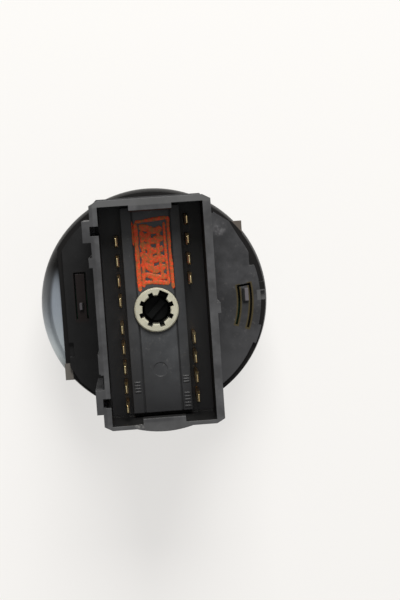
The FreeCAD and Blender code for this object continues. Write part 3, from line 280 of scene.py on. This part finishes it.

# Front carrier.
# The black flange that holds the switch in its panel, moulded in the same nylon as the housing. The two
# square lugs are paler. The olive and brown in the slots that free the snap arms are painted shade, as
# are the darker left side, the near-black edge band and the dark tab halves; the left lug's extra
# paleness, the lighter lower right and the pale tab halves are painted light.

left_lug_x = (-0.0233, -0.0236)
left_lug_y = (-0.0147, -0.0149)
right_lug_radius = (0.0301, 0.0303)
right_lug_x = (0.0195, 0.0198)
lower_layer_z = (0.0274, 0.0264)
shaded_left_x = (-0.0125, -0.0155)
lit_lower_right_x = (0.0120, 0.0150)
lit_lower_right_y = (-0.0040, -0.0180)
edge_shade_inside = (0.0278, 0.0281)
edge_shade_outside = (0.0304, 0.0302)
straight_edge_x = (-0.0238, -0.0241)
tab_angles = (-2.3, 3.0)
tab_radius = (0.0270, 0.0272)
tab_rim_radius = (0.0276, 0.0280)
gap_angles = (3.4, 8.0)
gap_radius = (0.0286, 0.0288)
angle_soft = 0.3
notch_x = (0.0260, 0.0262)
notch_y = (0.0082, 0.0119)
inner_slot_radius = (0.0224, 0.0234)
outer_slot_radius = (0.0256, 0.0266)
slot_soft = 0.0004
slot_angles = (-19.5, 8.2)
slot_angle_soft = 0.8
slot_x = (0.0180, 0.0185)
left_arm_x = (-0.0212, -0.0184)
left_arm_x_soft = 0.0008
left_arm_y = (-0.0030, 0.0090)
left_arm_y_soft = 0.0015
arm_tab_foot_z = (0.0279, 0.0281)
arm_tab_top_z = (0.0287, 0.0286)
arm_tab_radius = (0.0185, 0.0187)
lit_right_x = (0.0243, 0.0246)
lit_left_x = (-0.0206, -0.0197)
scuff_place = (0.0188, 0.0189)
scuff_radius = 0.0024
scuff_scale = 420.0


def opposite(tree, value):
    """Output of one minus the value."""
    return math_node(tree, "SUBTRACT", 1.0, value)


carrier_black = moulded(
    "carrier_black", (0.039, 0.039, 0.041), (0.10, 0.098, 0.096), 0.46, wear=0.3, dust=0.08, gloss=0.2)
tree = carrier_black.node_tree
x, y, z = coordinates(tree)
distance = distance_from(tree, x, y)
angle = math_node(tree, "DEGREES", math_node(tree, "ARCTAN2", y, x))
left_lug = product(tree, ramp(tree, x, *left_lug_x), ramp(tree, y, *left_lug_y))
right_lug = product(tree, ramp(tree, distance, *right_lug_radius), ramp(tree, x, *right_lug_x))
lower_layer = ramp(tree, z, *lower_layer_z)
shaded_left_side = ramp(tree, x, *shaded_left_x)
lower_right = product(tree, ramp(tree, y, *lit_lower_right_y), ramp(tree, x, *lit_lower_right_x))
# Painted shade: the flange's left side is painted darker.
tint(carrier_black, product(tree, shaded_left_side, 0.85), (0.007, 0.007, 0.007))
tint(carrier_black, product(tree, right_lug, lower_layer), (0.098, 0.083, 0.070))
# The left lug is painted paler than the right one: painted light against the shade it lies in.
tint(carrier_black, product(tree, left_lug, lower_layer), (0.150, 0.138, 0.123))
# Painted light: the lower right of the flange is painted lighter.
tint(carrier_black, product(tree, lower_right, 0.6), (0.058, 0.058, 0.060))

tab = product(tree, within(tree, angle, *tab_angles, angle_soft), ramp(tree, distance, *tab_radius))
tab_rim = product(tree, tab, ramp(tree, distance, *tab_rim_radius))
edge_shade_band = product(tree, ramp(tree, distance, *edge_shade_inside), ramp(tree, distance, *edge_shade_outside))
shade_all_round = widest(tree, edge_shade_band, ramp(tree, x, *straight_edge_x))
band = product(tree, shade_all_round, lower_layer, opposite(tree, left_lug), opposite(tree, tab))
gap = product(tree, within(tree, angle, *gap_angles, angle_soft), ramp(tree, distance, *gap_radius))
notch = product(tree, within(tree, y, *notch_y), ramp(tree, x, *notch_x), lower_layer)
tint(carrier_black, product(tree, tab_rim, 0.8), (0.090, 0.090, 0.090))
# Painted shade: a near-black band round the flange's lower edge and along its straight side, a short
# stretch of the rim and a small recess on the right.
tint(carrier_black, widest(tree, band, gap, notch), (0.0055, 0.0050, 0.0048))

inner_slot = within(tree, distance, *inner_slot_radius, slot_soft)
outer_slot = within(tree, distance, *outer_slot_radius, slot_soft)
slots = product(tree, widest(tree, inner_slot, outer_slot),
                within(tree, angle, *slot_angles, slot_angle_soft), ramp(tree, x, *slot_x))
left_arm = product(tree, within(tree, x, *left_arm_x, left_arm_x_soft),
                   within(tree, y, *left_arm_y, left_arm_y_soft))
arm_tabs = product(tree, ramp(tree, z, *arm_tab_foot_z), ramp(tree, distance, *arm_tab_radius),
                   ramp(tree, z, *arm_tab_top_z))
lit_halves = widest(tree, ramp(tree, x, *lit_right_x), within(tree, x, *lit_left_x))
# Painted shade: the slots that free the snap arms are painted olive, and the left arm brown, for the shaded
# bezel seen through them.
tint(carrier_black, product(tree, slots, 0.85), (0.060, 0.045, 0.016))
tint(carrier_black, product(tree, left_arm, 0.6), (0.017, 0.010, 0.009))
# Painted shade and painted light: the arm tabs are painted near black, and one half of each is painted pale
# where it is lit.
tint(carrier_black, product(tree, arm_tabs, 0.9), (0.006, 0.006, 0.006))
tint(carrier_black, product(tree, arm_tabs, lit_halves, 0.9), (0.125, 0.115, 0.125))

scuffs = ramp(tree, noise(tree, object_point(tree), scuff_scale, 4.0, 0.65), 0.36, 0.66)
scuff = product(tree, spot(tree, x, y, scuff_place, scuff_radius), scuffs, 0.7)
tint(carrier_black, scuff, (0.19, 0.185, 0.19))
dress(carrier_black, "front_carrier")

# Terminal block.
# The dark grey floor that holds the terminals, with the raised platform around the splined hub,
# moulded in a harder plastic. Short fine ribs stand on the platform's edges.

platform_top = 0.0495
shaded_sunk_z = (0.0490, 0.0462)
field_x = (-0.0047, 0.0050)
field_soft = 0.0002
left_groove_x = (-0.00476, -0.00454)
right_groove_x = (0.00484, 0.00506)
groove_soft = 0.00005
shaded_low_end_y = (-0.006, -0.026)
shaded_low_end_slant = 0.4

block_grey = moulded(
    "block_grey", (0.042, 0.044, 0.047), (0.12, 0.12, 0.12), 0.45, wear=0.6, dust=0.12, contrast=0.25,
    gloss=0.4)
tree = block_grey.node_tree
x, y, z = coordinates(tree)
strips = opposite(tree, within(tree, x, *field_x, field_soft))
grooves = widest(tree, within(tree, x, *left_groove_x, groove_soft),
                 within(tree, x, *right_groove_x, groove_soft))
shaded_low_end = ramp(tree, math_node(tree, "MULTIPLY_ADD", x, shaded_low_end_slant, y), *shaded_low_end_y, 0.0, 0.85)
# Painted shade: the block is painted near black below the platform, deep in the channels.
tint(block_grey, ramp(tree, z, *shaded_sunk_z), (0.006, 0.006, 0.006))
tint(block_grey, product(tree, strips, 0.5), (0.014, 0.014, 0.015))
# Painted shade in the two long grooves along the platform's field.
tint(block_grey, product(tree, grooves, 0.85), (0.004, 0.004, 0.004))
# Painted shade: the platform is painted darker towards its lower end.
tint(block_grey, shaded_low_end, (0.011, 0.011, 0.012))
dress(block_grey, "terminal_block")

left_strip_x = (-0.0070, -0.0053)
right_strip_x = (0.0055, 0.0072)
lift_off = 0.000004
rib_height = 0.00005
rib_let_in = 0.00005
rows_per_rib = 12
rib_columns = 17


def grid_faces(rows, columns, start=0):
    """Quads of a grid of points stored row by row, wound so that they face up where rows go along Y."""
    corner = np.arange(rows - 1)[:, None] * columns + np.arange(columns - 1)[None, :] + start
    quads = np.stack([corner, corner + 1, corner + columns + 1, corner + columns], axis=-1)
    return quads.reshape(-1, 4)


def slab_mesh(name, top, bottom):
    """A closed slab between two grids of points with the same rows and columns.

    The top grid's rows follow +Y and its columns +X. The four rims join the grids by quads.
    """
    rows, columns = top.shape[:2]
    count = rows * columns
    points = np.concatenate([top.reshape(-1, 3), bottom.reshape(-1, 3)])
    upper = grid_faces(rows, columns)
    lower = grid_faces(rows, columns, count)[:, ::-1]
    index = np.arange(count).reshape(rows, columns)
    rim = np.concatenate([index[0, :-1], index[:-1, -1], index[-1, :0:-1], index[:0:-1, 0]])
    after = np.roll(rim, -1)
    sides = np.stack([rim, rim + count, after + count, after], axis=-1)
    mesh = bpy.data.meshes.new(name)
    mesh.from_pydata(points.tolist(), [], np.concatenate([upper, lower, sides]).tolist())
    mesh.validate()
    return mesh


def new_piece(name, mesh, material, body):
    """An object for a mesh, dressed and tied to a body of the frame."""
    piece = bpy.data.objects.new(name, mesh)
    scene.collection.objects.link(piece)
    mesh.materials.append(material)
    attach(piece, body)
    return piece


def rib_strip(name, x_edges, y_edges, pitch):
    """Fine ribs one after the other along Y: z = top + height * wave ** 2 * fade.

    wave = 0.5 - 0.5 * cos(2 pi n), where n counts the ribs, and fade = sin(pi s) ** 0.3, where s goes
    from 0 to 1 across the strip.
    """
    ribs = int(round((y_edges[1] - y_edges[0]) / pitch))
    rows = ribs * rows_per_rib + 1
    wave = 0.5 - 0.5 * np.cos(np.linspace(0.0, 2.0 * np.pi * ribs, rows))
    fade = np.sin(np.linspace(0.0, np.pi, rib_columns)) ** 0.3
    rise = (wave ** 2)[:, None] * fade[None, :] * rib_height
    x_grid, y_grid = np.meshgrid(np.linspace(*x_edges, rib_columns), np.linspace(*y_edges, rows))
    top = np.stack([x_grid, y_grid, platform_top + lift_off + rise], axis=-1)
    bottom = np.stack([x_grid, y_grid, np.full_like(x_grid, platform_top - rib_let_in)], axis=-1)
    new_piece(name, slab_mesh(name, top, bottom), block_grey, "housing")


rib_strip("ribs_left", left_strip_x, (-0.0212, -0.0180), pitch=0.0008)
rib_strip("ribs_right_upper", right_strip_x, (-0.0193, -0.0172), pitch=0.0007)
rib_strip("ribs_right_lower", right_strip_x, (-0.0257, -0.0215), pitch=0.00084)

# Paint mark.
# Thin orange paint brushed on the platform by hand: a frame, six waves and some slanting strokes.
# The dark plastic shows through where it is thin.

thin_scale = 1500.0
field_corners = np.array([(-0.00445, 0.0047), (0.00505, 0.0044), (0.0047, 0.02385), (-0.00435, 0.0233)])
section_step = 0.00022
section_points = 9
least_sections = 8
smoothed_over = 5
wander_over = 7
width_swing = 0.10
end_width = 0.45
stroke_let_in = 0.00002
first_lift = 0.00003
lift_step = 0.000002

orange_paint = moulded(
    "orange_paint", (0.66, 0.062, 0.018), (0.75, 0.13, 0.05), 0.45, grain=0.0003, bump=0.5, dust=0.0,
    wear=0.0, blotch=0.0009, contrast=0.25, gloss=0.2)
tree = orange_paint.node_tree
thin = ramp(tree, noise(tree, object_point(tree), thin_scale, 4.0, 0.7), 0.42, 0.60)
tint(orange_paint, product(tree, thin, 0.85), (0.25, 0.12, 0.035))
draws = np.random.default_rng(41)


def in_frame(points):
    """A path given by shares across and up the painted field, set between the field's four corners."""
    lower_left, lower_right, upper_right, upper_left = field_corners
    u, v = np.array(points).T[:, :, None]
    low = lower_left + (lower_right - lower_left) * u
    high = upper_left + (upper_right - upper_left) * u
    return low + (high - low) * v


def wave_path(start, end, swing, turns):
    """A path from start to end that swings sideways: offset = swing * sin(2 pi turns t)."""
    share = np.linspace(0.0, 1.0, 40)[:, None]
    start, end = np.array(start), np.array(end)
    heading = (end - start) / np.linalg.norm(end - start)
    side = np.array([-heading[1], heading[0]])
    return start + (end - start) * share + side * swing * np.sin(share * 2.0 * np.pi * turns)


def stroke_mesh(name, path, half_width, lift):
    """A brush stroke: a band along a path whose half width is w * (1 + swing * wander).

    The band's section is a flat arch, z = top + lift * (1 - (s / w) ** 4), over a base let into the
    platform. wander is a smoothed run of random draws, and w tapers at both ends.
    """
    lengths = np.concatenate([[0.0], np.cumsum(np.linalg.norm(np.diff(path, axis=0), axis=1))])
    steps = max(least_sections, int(lengths[-1] / section_step))
    reach = np.linspace(0.0, lengths[-1], steps)
    middle = np.stack([np.interp(reach, lengths, path[:, axis]) for axis in (0, 1)], axis=-1)
    kernel = np.ones(smoothed_over) / smoothed_over
    padded = np.pad(middle, ((smoothed_over // 2, smoothed_over // 2), (0, 0)), mode="edge")
    middle = np.stack([np.convolve(padded[:, axis], kernel, mode="valid") for axis in (0, 1)], axis=-1)
    heading = np.gradient(middle, axis=0)
    heading /= np.linalg.norm(heading, axis=1, keepdims=True)
    side = np.stack([heading[:, 1], -heading[:, 0]], axis=-1)
    wander = draws.normal(0.0, 1.0, steps + wander_over - 1)
    wander = np.convolve(wander, np.ones(wander_over) / wander_over ** 0.5, mode="valid")
    taper = np.clip(np.minimum(np.arange(steps), np.arange(steps)[::-1]) / 2.0, end_width, 1.0)
    width = half_width * (1.0 + width_swing * wander) * taper
    share = np.linspace(-1.0, 1.0, section_points)
    plan = middle[:, None, :] + side[:, None, :] * (width[:, None] * share[None, :])[:, :, None]
    arch = platform_top + lift_off + lift * (1.0 - share ** 4)
    top = np.concatenate([plan, np.broadcast_to(arch[None, :, None], (steps, section_points, 1))], axis=-1)
    base = np.full((steps, section_points, 1), platform_top - stroke_let_in)
    return slab_mesh(name, top, np.concatenate([plan, base], axis=-1))


# The frame, the waves, and the line and the slanting strokes over them, each with its half width
strokes = [
    ([(0.07, 0.005), (0.06, 0.50), (0.05, 0.95)], 0.00058),
    ([(0.03, 0.955), (0.50, 0.965), (0.97, 0.97)], 0.00048),
    ([(0.965, 0.99), (0.955, 0.50), (0.965, 0.03)], 0.00044),
    ([(0.85, 0.92), (0.84, 0.50), (0.86, 0.10)], 0.00038),
    ([(-0.04, 0.98), (-0.035, 0.80), (-0.03, 0.63)], 0.00020),
    (wave_path((0.13, 0.86), (0.80, 0.82), 0.022, 1.2), 0.00080),
    (wave_path((0.14, 0.74), (0.80, 0.67), 0.030, 1.5), 0.00088),
    (wave_path((0.13, 0.61), (0.80, 0.54), 0.026, 1.3), 0.00086),
    (wave_path((0.13, 0.48), (0.82, 0.41), 0.030, 1.6), 0.00092),
    (wave_path((0.13, 0.35), (0.82, 0.29), 0.026, 1.4), 0.00088),
    (wave_path((0.12, 0.22), (0.84, 0.19), 0.018, 1.2), 0.00084),
    ([(0.12, 0.125), (0.50, 0.130), (0.90, 0.105)], 0.00058),
    ([(0.44, 0.86), (0.38, 0.62), (0.47, 0.24)], 0.00056),
    ([(0.68, 0.82), (0.63, 0.58), (0.71, 0.20)], 0.00050),
    ([(0.20, 0.84), (0.24, 0.52), (0.17, 0.06)], 0.00052),
]
for number, (path, half_width) in enumerate(strokes, start=1):
    name = f"paint_stroke_{number}"
    mesh = stroke_mesh(name, in_frame(path), half_width, first_lift + lift_step * number)
    new_piece(name, mesh, orange_paint, "housing")

# Rotor.
# The drum that turns the contacts, moulded in ivory acetal with a waxy sheen. Its splined hub comes
# up through the platform, and the hub's bore lies in shade.

bore_radius = (0.0054, 0.0051)
bore_z = (0.0502, 0.0488)

ivory_acetal = moulded(
    "ivory_acetal", (0.45, 0.435, 0.34), (0.60, 0.58, 0.47), 0.42, bump=0.1, wear=0.3, dust=0.0,
    contrast=0.10)
tree = ivory_acetal.node_tree
x, y, z = coordinates(tree)
bore = product(tree, ramp(tree, distance_from(tree, x, y), *bore_radius), ramp(tree, z, *bore_z))
tint(ivory_acetal, product(tree, bore, 0.9), (0.03, 0.03, 0.026))
principled(ivory_acetal).inputs["Subsurface Weight"].default_value = 0.1
principled(ivory_acetal).inputs["Subsurface Radius"].default_value = (0.0010, 0.0008, 0.0006)
dress(ivory_acetal, "rotor")

# Knob shaft.
# The shaft between the knob and the rotor, moulded in nearly black nylon. Its eight ribs slide in
# the hub's splines as the knob is pulled.

shaft_black = moulded(
    "shaft_black", (0.0035, 0.0038, 0.0038), (0.020, 0.020, 0.019), 0.5, wear=0.4, dust=0.0, gloss=0.08)
dress(shaft_black, "knob_shaft")

# Bezel ring.
# Moulded in black plastic and given a satin silver spray coat from the front. On the back it is painted
# near black as painted shade, except on its left side; there a pale bluish painted reflection grows lower
# down and a darker ring of painted shade lies higher up. The ring clips onto the front carrier.

silver_side_heading = (-0.990, -0.139)
silver_side_reach = (0.84, 0.995)
front_z = (0.0196, 0.0180)
reflection_low_y = (0.0020, -0.0140)
shade_high_y = (-0.0130, 0.0060)
shade_ring_radius = (0.0287, 0.0306)
shade_ring_soft = 0.0012

bezel_satin = moulded(
    "bezel_satin", (0.36, 0.40, 0.45), (0.42, 0.45, 0.48), 0.32, grain=0.00008, bump=0.08, wear=0.2,
    dust=0.0, contrast=0.05, gloss=0.12)
tree = bezel_satin.node_tree
x, y, z = coordinates(tree)
distance = distance_from(tree, x, y)
sideways = math_node(tree, "MULTIPLY_ADD", x, silver_side_heading[0], product(tree, y, silver_side_heading[1]))
silver_side = ramp(tree, math_node(tree, "DIVIDE", sideways, distance), *silver_side_reach)
silver = widest(tree, silver_side, ramp(tree, z, *front_z))
shade_ring = within(tree, distance, *shade_ring_radius, shade_ring_soft)
# Painted reflection: a pale bluish sheen, stronger lower down.
tint(bezel_satin, product(tree, ramp(tree, y, *reflection_low_y), 0.8), (0.60, 0.66, 0.67))
# Painted shade: a darker ring higher up.
tint(bezel_satin, product(tree, shade_ring, ramp(tree, y, *shade_high_y), 0.85), (0.10, 0.10, 0.10))
# Painted shade: the back is near black away from its silver left side.
tint(bezel_satin, opposite(tree, silver), (0.008, 0.0075, 0.0072))
tree.links.new(product(tree, silver, 0.6), principled(bezel_satin).inputs["Metallic"])
dress(bezel_satin, "bezel_ring")

# Terminals.
# Flat brass blades, stamped from strip and held by a wider foot in the front of the block. Low down they
# are painted dark brown as painted shade; higher up they are brass with tarnish blotches and rubbed edges.

terminal_shade_level = 0.0516
shade_fade = 0.0012
stamped_grain = 0.0001
stamped_blotch = 0.0012
stamped_edge = 0.00012
stamped_depth = 0.00002


def stamped(name, colour, dark, roughness, shade_below=None):
    """Rolled sheet metal: blotched tarnish and rubbed edges. Where a level is given, the metal below it is
    painted dark as painted shade.
    """
    material, tree, shader = new_material(name)
    surface = place_group(tree, skin, Grain_size=stamped_grain, Blotch_size=stamped_blotch, Dust=0.0)
    corner = place_group(tree, edge, Radius=stamped_edge, Wear=0.8)
    clean = ramp(tree, surface.outputs["Blotch"], 0.38, 0.62)
    if shade_below is not None:
        _, _, z = coordinates(tree)
        high = ramp(tree, z, shade_below, shade_below + shade_fade)
        clean = product(tree, math_node(tree, "MULTIPLY_ADD", clean, 0.55, 0.45), high)
    rubbed_colour = tuple(min(1.0, channel * 1.25) for channel in colour)
    tone = mix_colour(tree, clean, dark, colour)
    tone = mix_colour(tree, product(tree, corner.outputs["Worn"], clean), tone, rubbed_colour)
    tree.links.new(tone, shader.inputs["Base Color"])
    shader.inputs["Metallic"].default_value = 1.0
    rough = ramp(tree, surface.outputs["Grain"], 0.3, 0.7, roughness - 0.1, roughness + 0.1)
    tree.links.new(rough, shader.inputs["Roughness"])
    add_relief(tree, shader, surface, corner, 0.3, stamped_depth)
    return material


# Painted shade: the terminals are painted dark brown below a level low on their blades.
terminal_brass = stamped(
    "terminal_brass", (1.0, 0.83, 0.46), (0.55, 0.33, 0.13), 0.28, shade_below=terminal_shade_level)
terminals = [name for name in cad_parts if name.startswith(("terminal_right_", "terminal_left_"))]
dress(terminal_brass, *terminals)

# Contacts and leads.
# Thinner brass strip, stamped and bent: the tracks on the front of the terminal block, the wipers
# on the rotor, the fog bridges and their strips, and the two leads to the lamp board.

stamped_brass = stamped("stamped_brass", (0.80, 0.62, 0.27), (0.42, 0.27, 0.10), 0.32)
dress(stamped_brass, "track_feed", "track_park", "track_low_beam", "track_automatic",
      "wiper_right", "wiper_left", "wiper_top", "fog_bridge_right", "fog_bridge_left",
      "fog_strip_right", "fog_strip_left", "board_lead_right", "board_lead_left")

# Detent springs.
# A leaf spring and a hairpin of spring steel. The leaf's nose drops into the drum's notches at each
# turn step, and the hairpin's legs lie in the shaft's grooves at each pull step.

spring_steel = stamped("spring_steel", (0.62, 0.62, 0.63), (0.38, 0.37, 0.36), 0.3)
dress(spring_steel, "turn_detent_spring", "pull_detent_spring")

# Bearing plate and fog slider.
# Two dark grey mouldings inside the chamber. The plate carries the rotor's front journal, and the
# slider's fork rides in the shaft's neck.

inner_grey = moulded("inner_grey", (0.06, 0.06, 0.062), (0.13, 0.13, 0.13), 0.5)
dress(inner_grey, "bearing_plate", "fog_slider")

# Dial plate.
# The dark face around the knob, moulded in black plastic and held by the bezel's front lip. The
# floors of its sunk index marks are filled with white paint.

mark_floor_z = (0.01585, 0.01595)
mark_floor_soft = 0.00002

dial_black = moulded("dial_black", (0.02, 0.02, 0.022), (0.06, 0.06, 0.06), 0.4)
tree = dial_black.node_tree
_, _, z = coordinates(tree)
tint(dial_black, within(tree, z, *mark_floor_z, mark_floor_soft), (0.75, 0.75, 0.72))
dress(dial_black, "dial_plate")

# Knob.
# Moulded in matt black plastic. A white pointer is let into the face of its grip bar, and a bright
# plated ring sits in the groove around it.

knob_black = moulded("knob_black", (0.024, 0.024, 0.026), (0.06, 0.06, 0.06), 0.55)
dress(knob_black, "knob")
pointer_white = moulded("pointer_white", (0.78, 0.78, 0.76), (0.85, 0.85, 0.84), 0.3)
dress(pointer_white, "knob_pointer")
bright_trim = stamped("bright_trim", (0.80, 0.81, 0.83), (0.72, 0.73, 0.75), 0.16)
dress(bright_trim, "knob_trim")

# Lamp board.
# A green board with four white lamps soldered to it. A clear ring stands on the board on three feet
# and carries the light to the dial.

board_green = moulded("board_green", (0.010, 0.050, 0.026), (0.03, 0.12, 0.06), 0.35)
dress(board_green, "led_board")
lamp_white = moulded("lamp_white", (0.80, 0.78, 0.66), (0.85, 0.83, 0.72), 0.3)
dress(lamp_white, "led_1", "led_2", "led_3", "led_4")
clear_guide = moulded("clear_guide", (0.80, 0.85, 0.87), (0.85, 0.88, 0.9), 0.15)
principled(clear_guide).inputs["Transmission Weight"].default_value = 0.8
dress(clear_guide, "light_guide")

# Floor.
# A wide sheet of matt pale paper, just clear of the knob's face. It glows evenly where the camera or
# a reflection sees it, so it stays pale under soft light and still keeps the switch's shadow.

floor_reach = 1.2
floor_level = -0.00003
glow_share = 0.68

floor_mesh = bpy.data.meshes.new("floor")
corners = [(x * floor_reach, y * floor_reach, floor_level) for x, y in ((-1, -1), (1, -1), (1, 1), (-1, 1))]
floor_mesh.from_pydata(corners, [], [(0, 1, 2, 3)])
floor = bpy.data.objects.new("floor", floor_mesh)
scene.collection.objects.link(floor)
floor_paper, tree, shader = new_material("floor_paper")
shader.inputs["Base Color"].default_value = (0.86, 0.85, 0.83, 1.0)
shader.inputs["Roughness"].default_value = 0.8
rays = wire(tree, "ShaderNodeLightPath")
seen = math_node(tree, "ADD", rays.outputs["Is Camera Ray"], rays.outputs["Is Glossy Ray"])
seen = math_node(tree, "ADD", seen, rays.outputs["Is Transmission Ray"])
share = product(tree, math_node(tree, "MINIMUM", seen, 1.0), glow_share)
glow = wire(tree, "ShaderNodeEmission", {"Color": (0.945, 0.925, 0.900, 1.0), "Strength": 1.0})
blend = wire(tree, "ShaderNodeMixShader", {0: share, 1: shader.outputs[0], 2: glow.outputs[0]})
tree.links.new(blend.outputs[0], tree.nodes["Material Output"].inputs["Surface"])
floor_mesh.materials.append(floor_paper)

# Light.
# A pale sky, whitest overhead and brighter towards the upper right, and one square window lamp that
# looks at the middle of the switch.

sky_slant = (0.85, 0.5)
sky_sides = (0.62, 1.28)
sky_strength = 0.46
window_place = Vector((0.08, 0.76, 0.72))
window_size = 0.5
window_power = 13.0
switch_middle = Vector((0.0, 0.0, 0.03))

world = bpy.data.worlds.new("studio")
scene.world = world
world.use_nodes = True
tree = world.node_tree
split = wire(tree, "ShaderNodeSeparateXYZ", {0: wire(tree, "ShaderNodeTexCoord").outputs["Generated"]})
east, north, up = split.outputs["X"], split.outputs["Y"], split.outputs["Z"]
slant = math_node(tree, "MULTIPLY_ADD", east, sky_slant[0], product(tree, north, sky_slant[1]))
shade = mix_colour(tree, ramp(tree, up, -0.1, 0.95), (0.30, 0.33, 0.37), (1.0, 1.0, 1.0))
scaled = wire(tree, "ShaderNodeVectorMath", {0: shade, 3: ramp(tree, slant, -0.9, 0.9, *sky_sides)},
              operation="SCALE")
background = tree.nodes["Background"]
tree.links.new(scaled.outputs["Vector"], background.inputs["Color"])
background.inputs["Strength"].default_value = sky_strength

window_data = bpy.data.lights.new("window_lamp", "AREA")
window_data.shape = "SQUARE"
window_data.size = window_size
window_data.energy = window_power
window_data.color = (1.0, 0.99, 0.97)
window_lamp = bpy.data.objects.new("window_lamp", window_data)
window_lamp.location = window_place
window_lamp.rotation_euler = (switch_middle - window_place).to_track_quat("-Z", "Y").to_euler()
scene.collection.objects.link(window_lamp)

# Camera.
# It looks down on the back of the switch from 39 cm, from a little above the middle. camera_turn is
# its turning axis times the angle in radians, from a camera that looks straight down.

camera_place = (-0.004236, 0.028818, 0.392149)
camera_turn = Vector((-0.077451, -0.047759, -0.070369))
camera_lens = 81.06
sensor_width = 36.0

camera_data = bpy.data.cameras.new("camera")
camera_data.sensor_width = sensor_width
camera_data.lens = camera_lens
camera_data.clip_start = 0.01
camera_data.clip_end = 10.0
camera = bpy.data.objects.new("camera", camera_data)
camera.location = camera_place
camera.rotation_mode = "QUATERNION"
camera.rotation_quaternion = Quaternion(camera_turn.normalized(), camera_turn.length)
scene.collection.objects.link(camera)
scene.camera = camera
scene.view_settings.view_transform = "Standard"
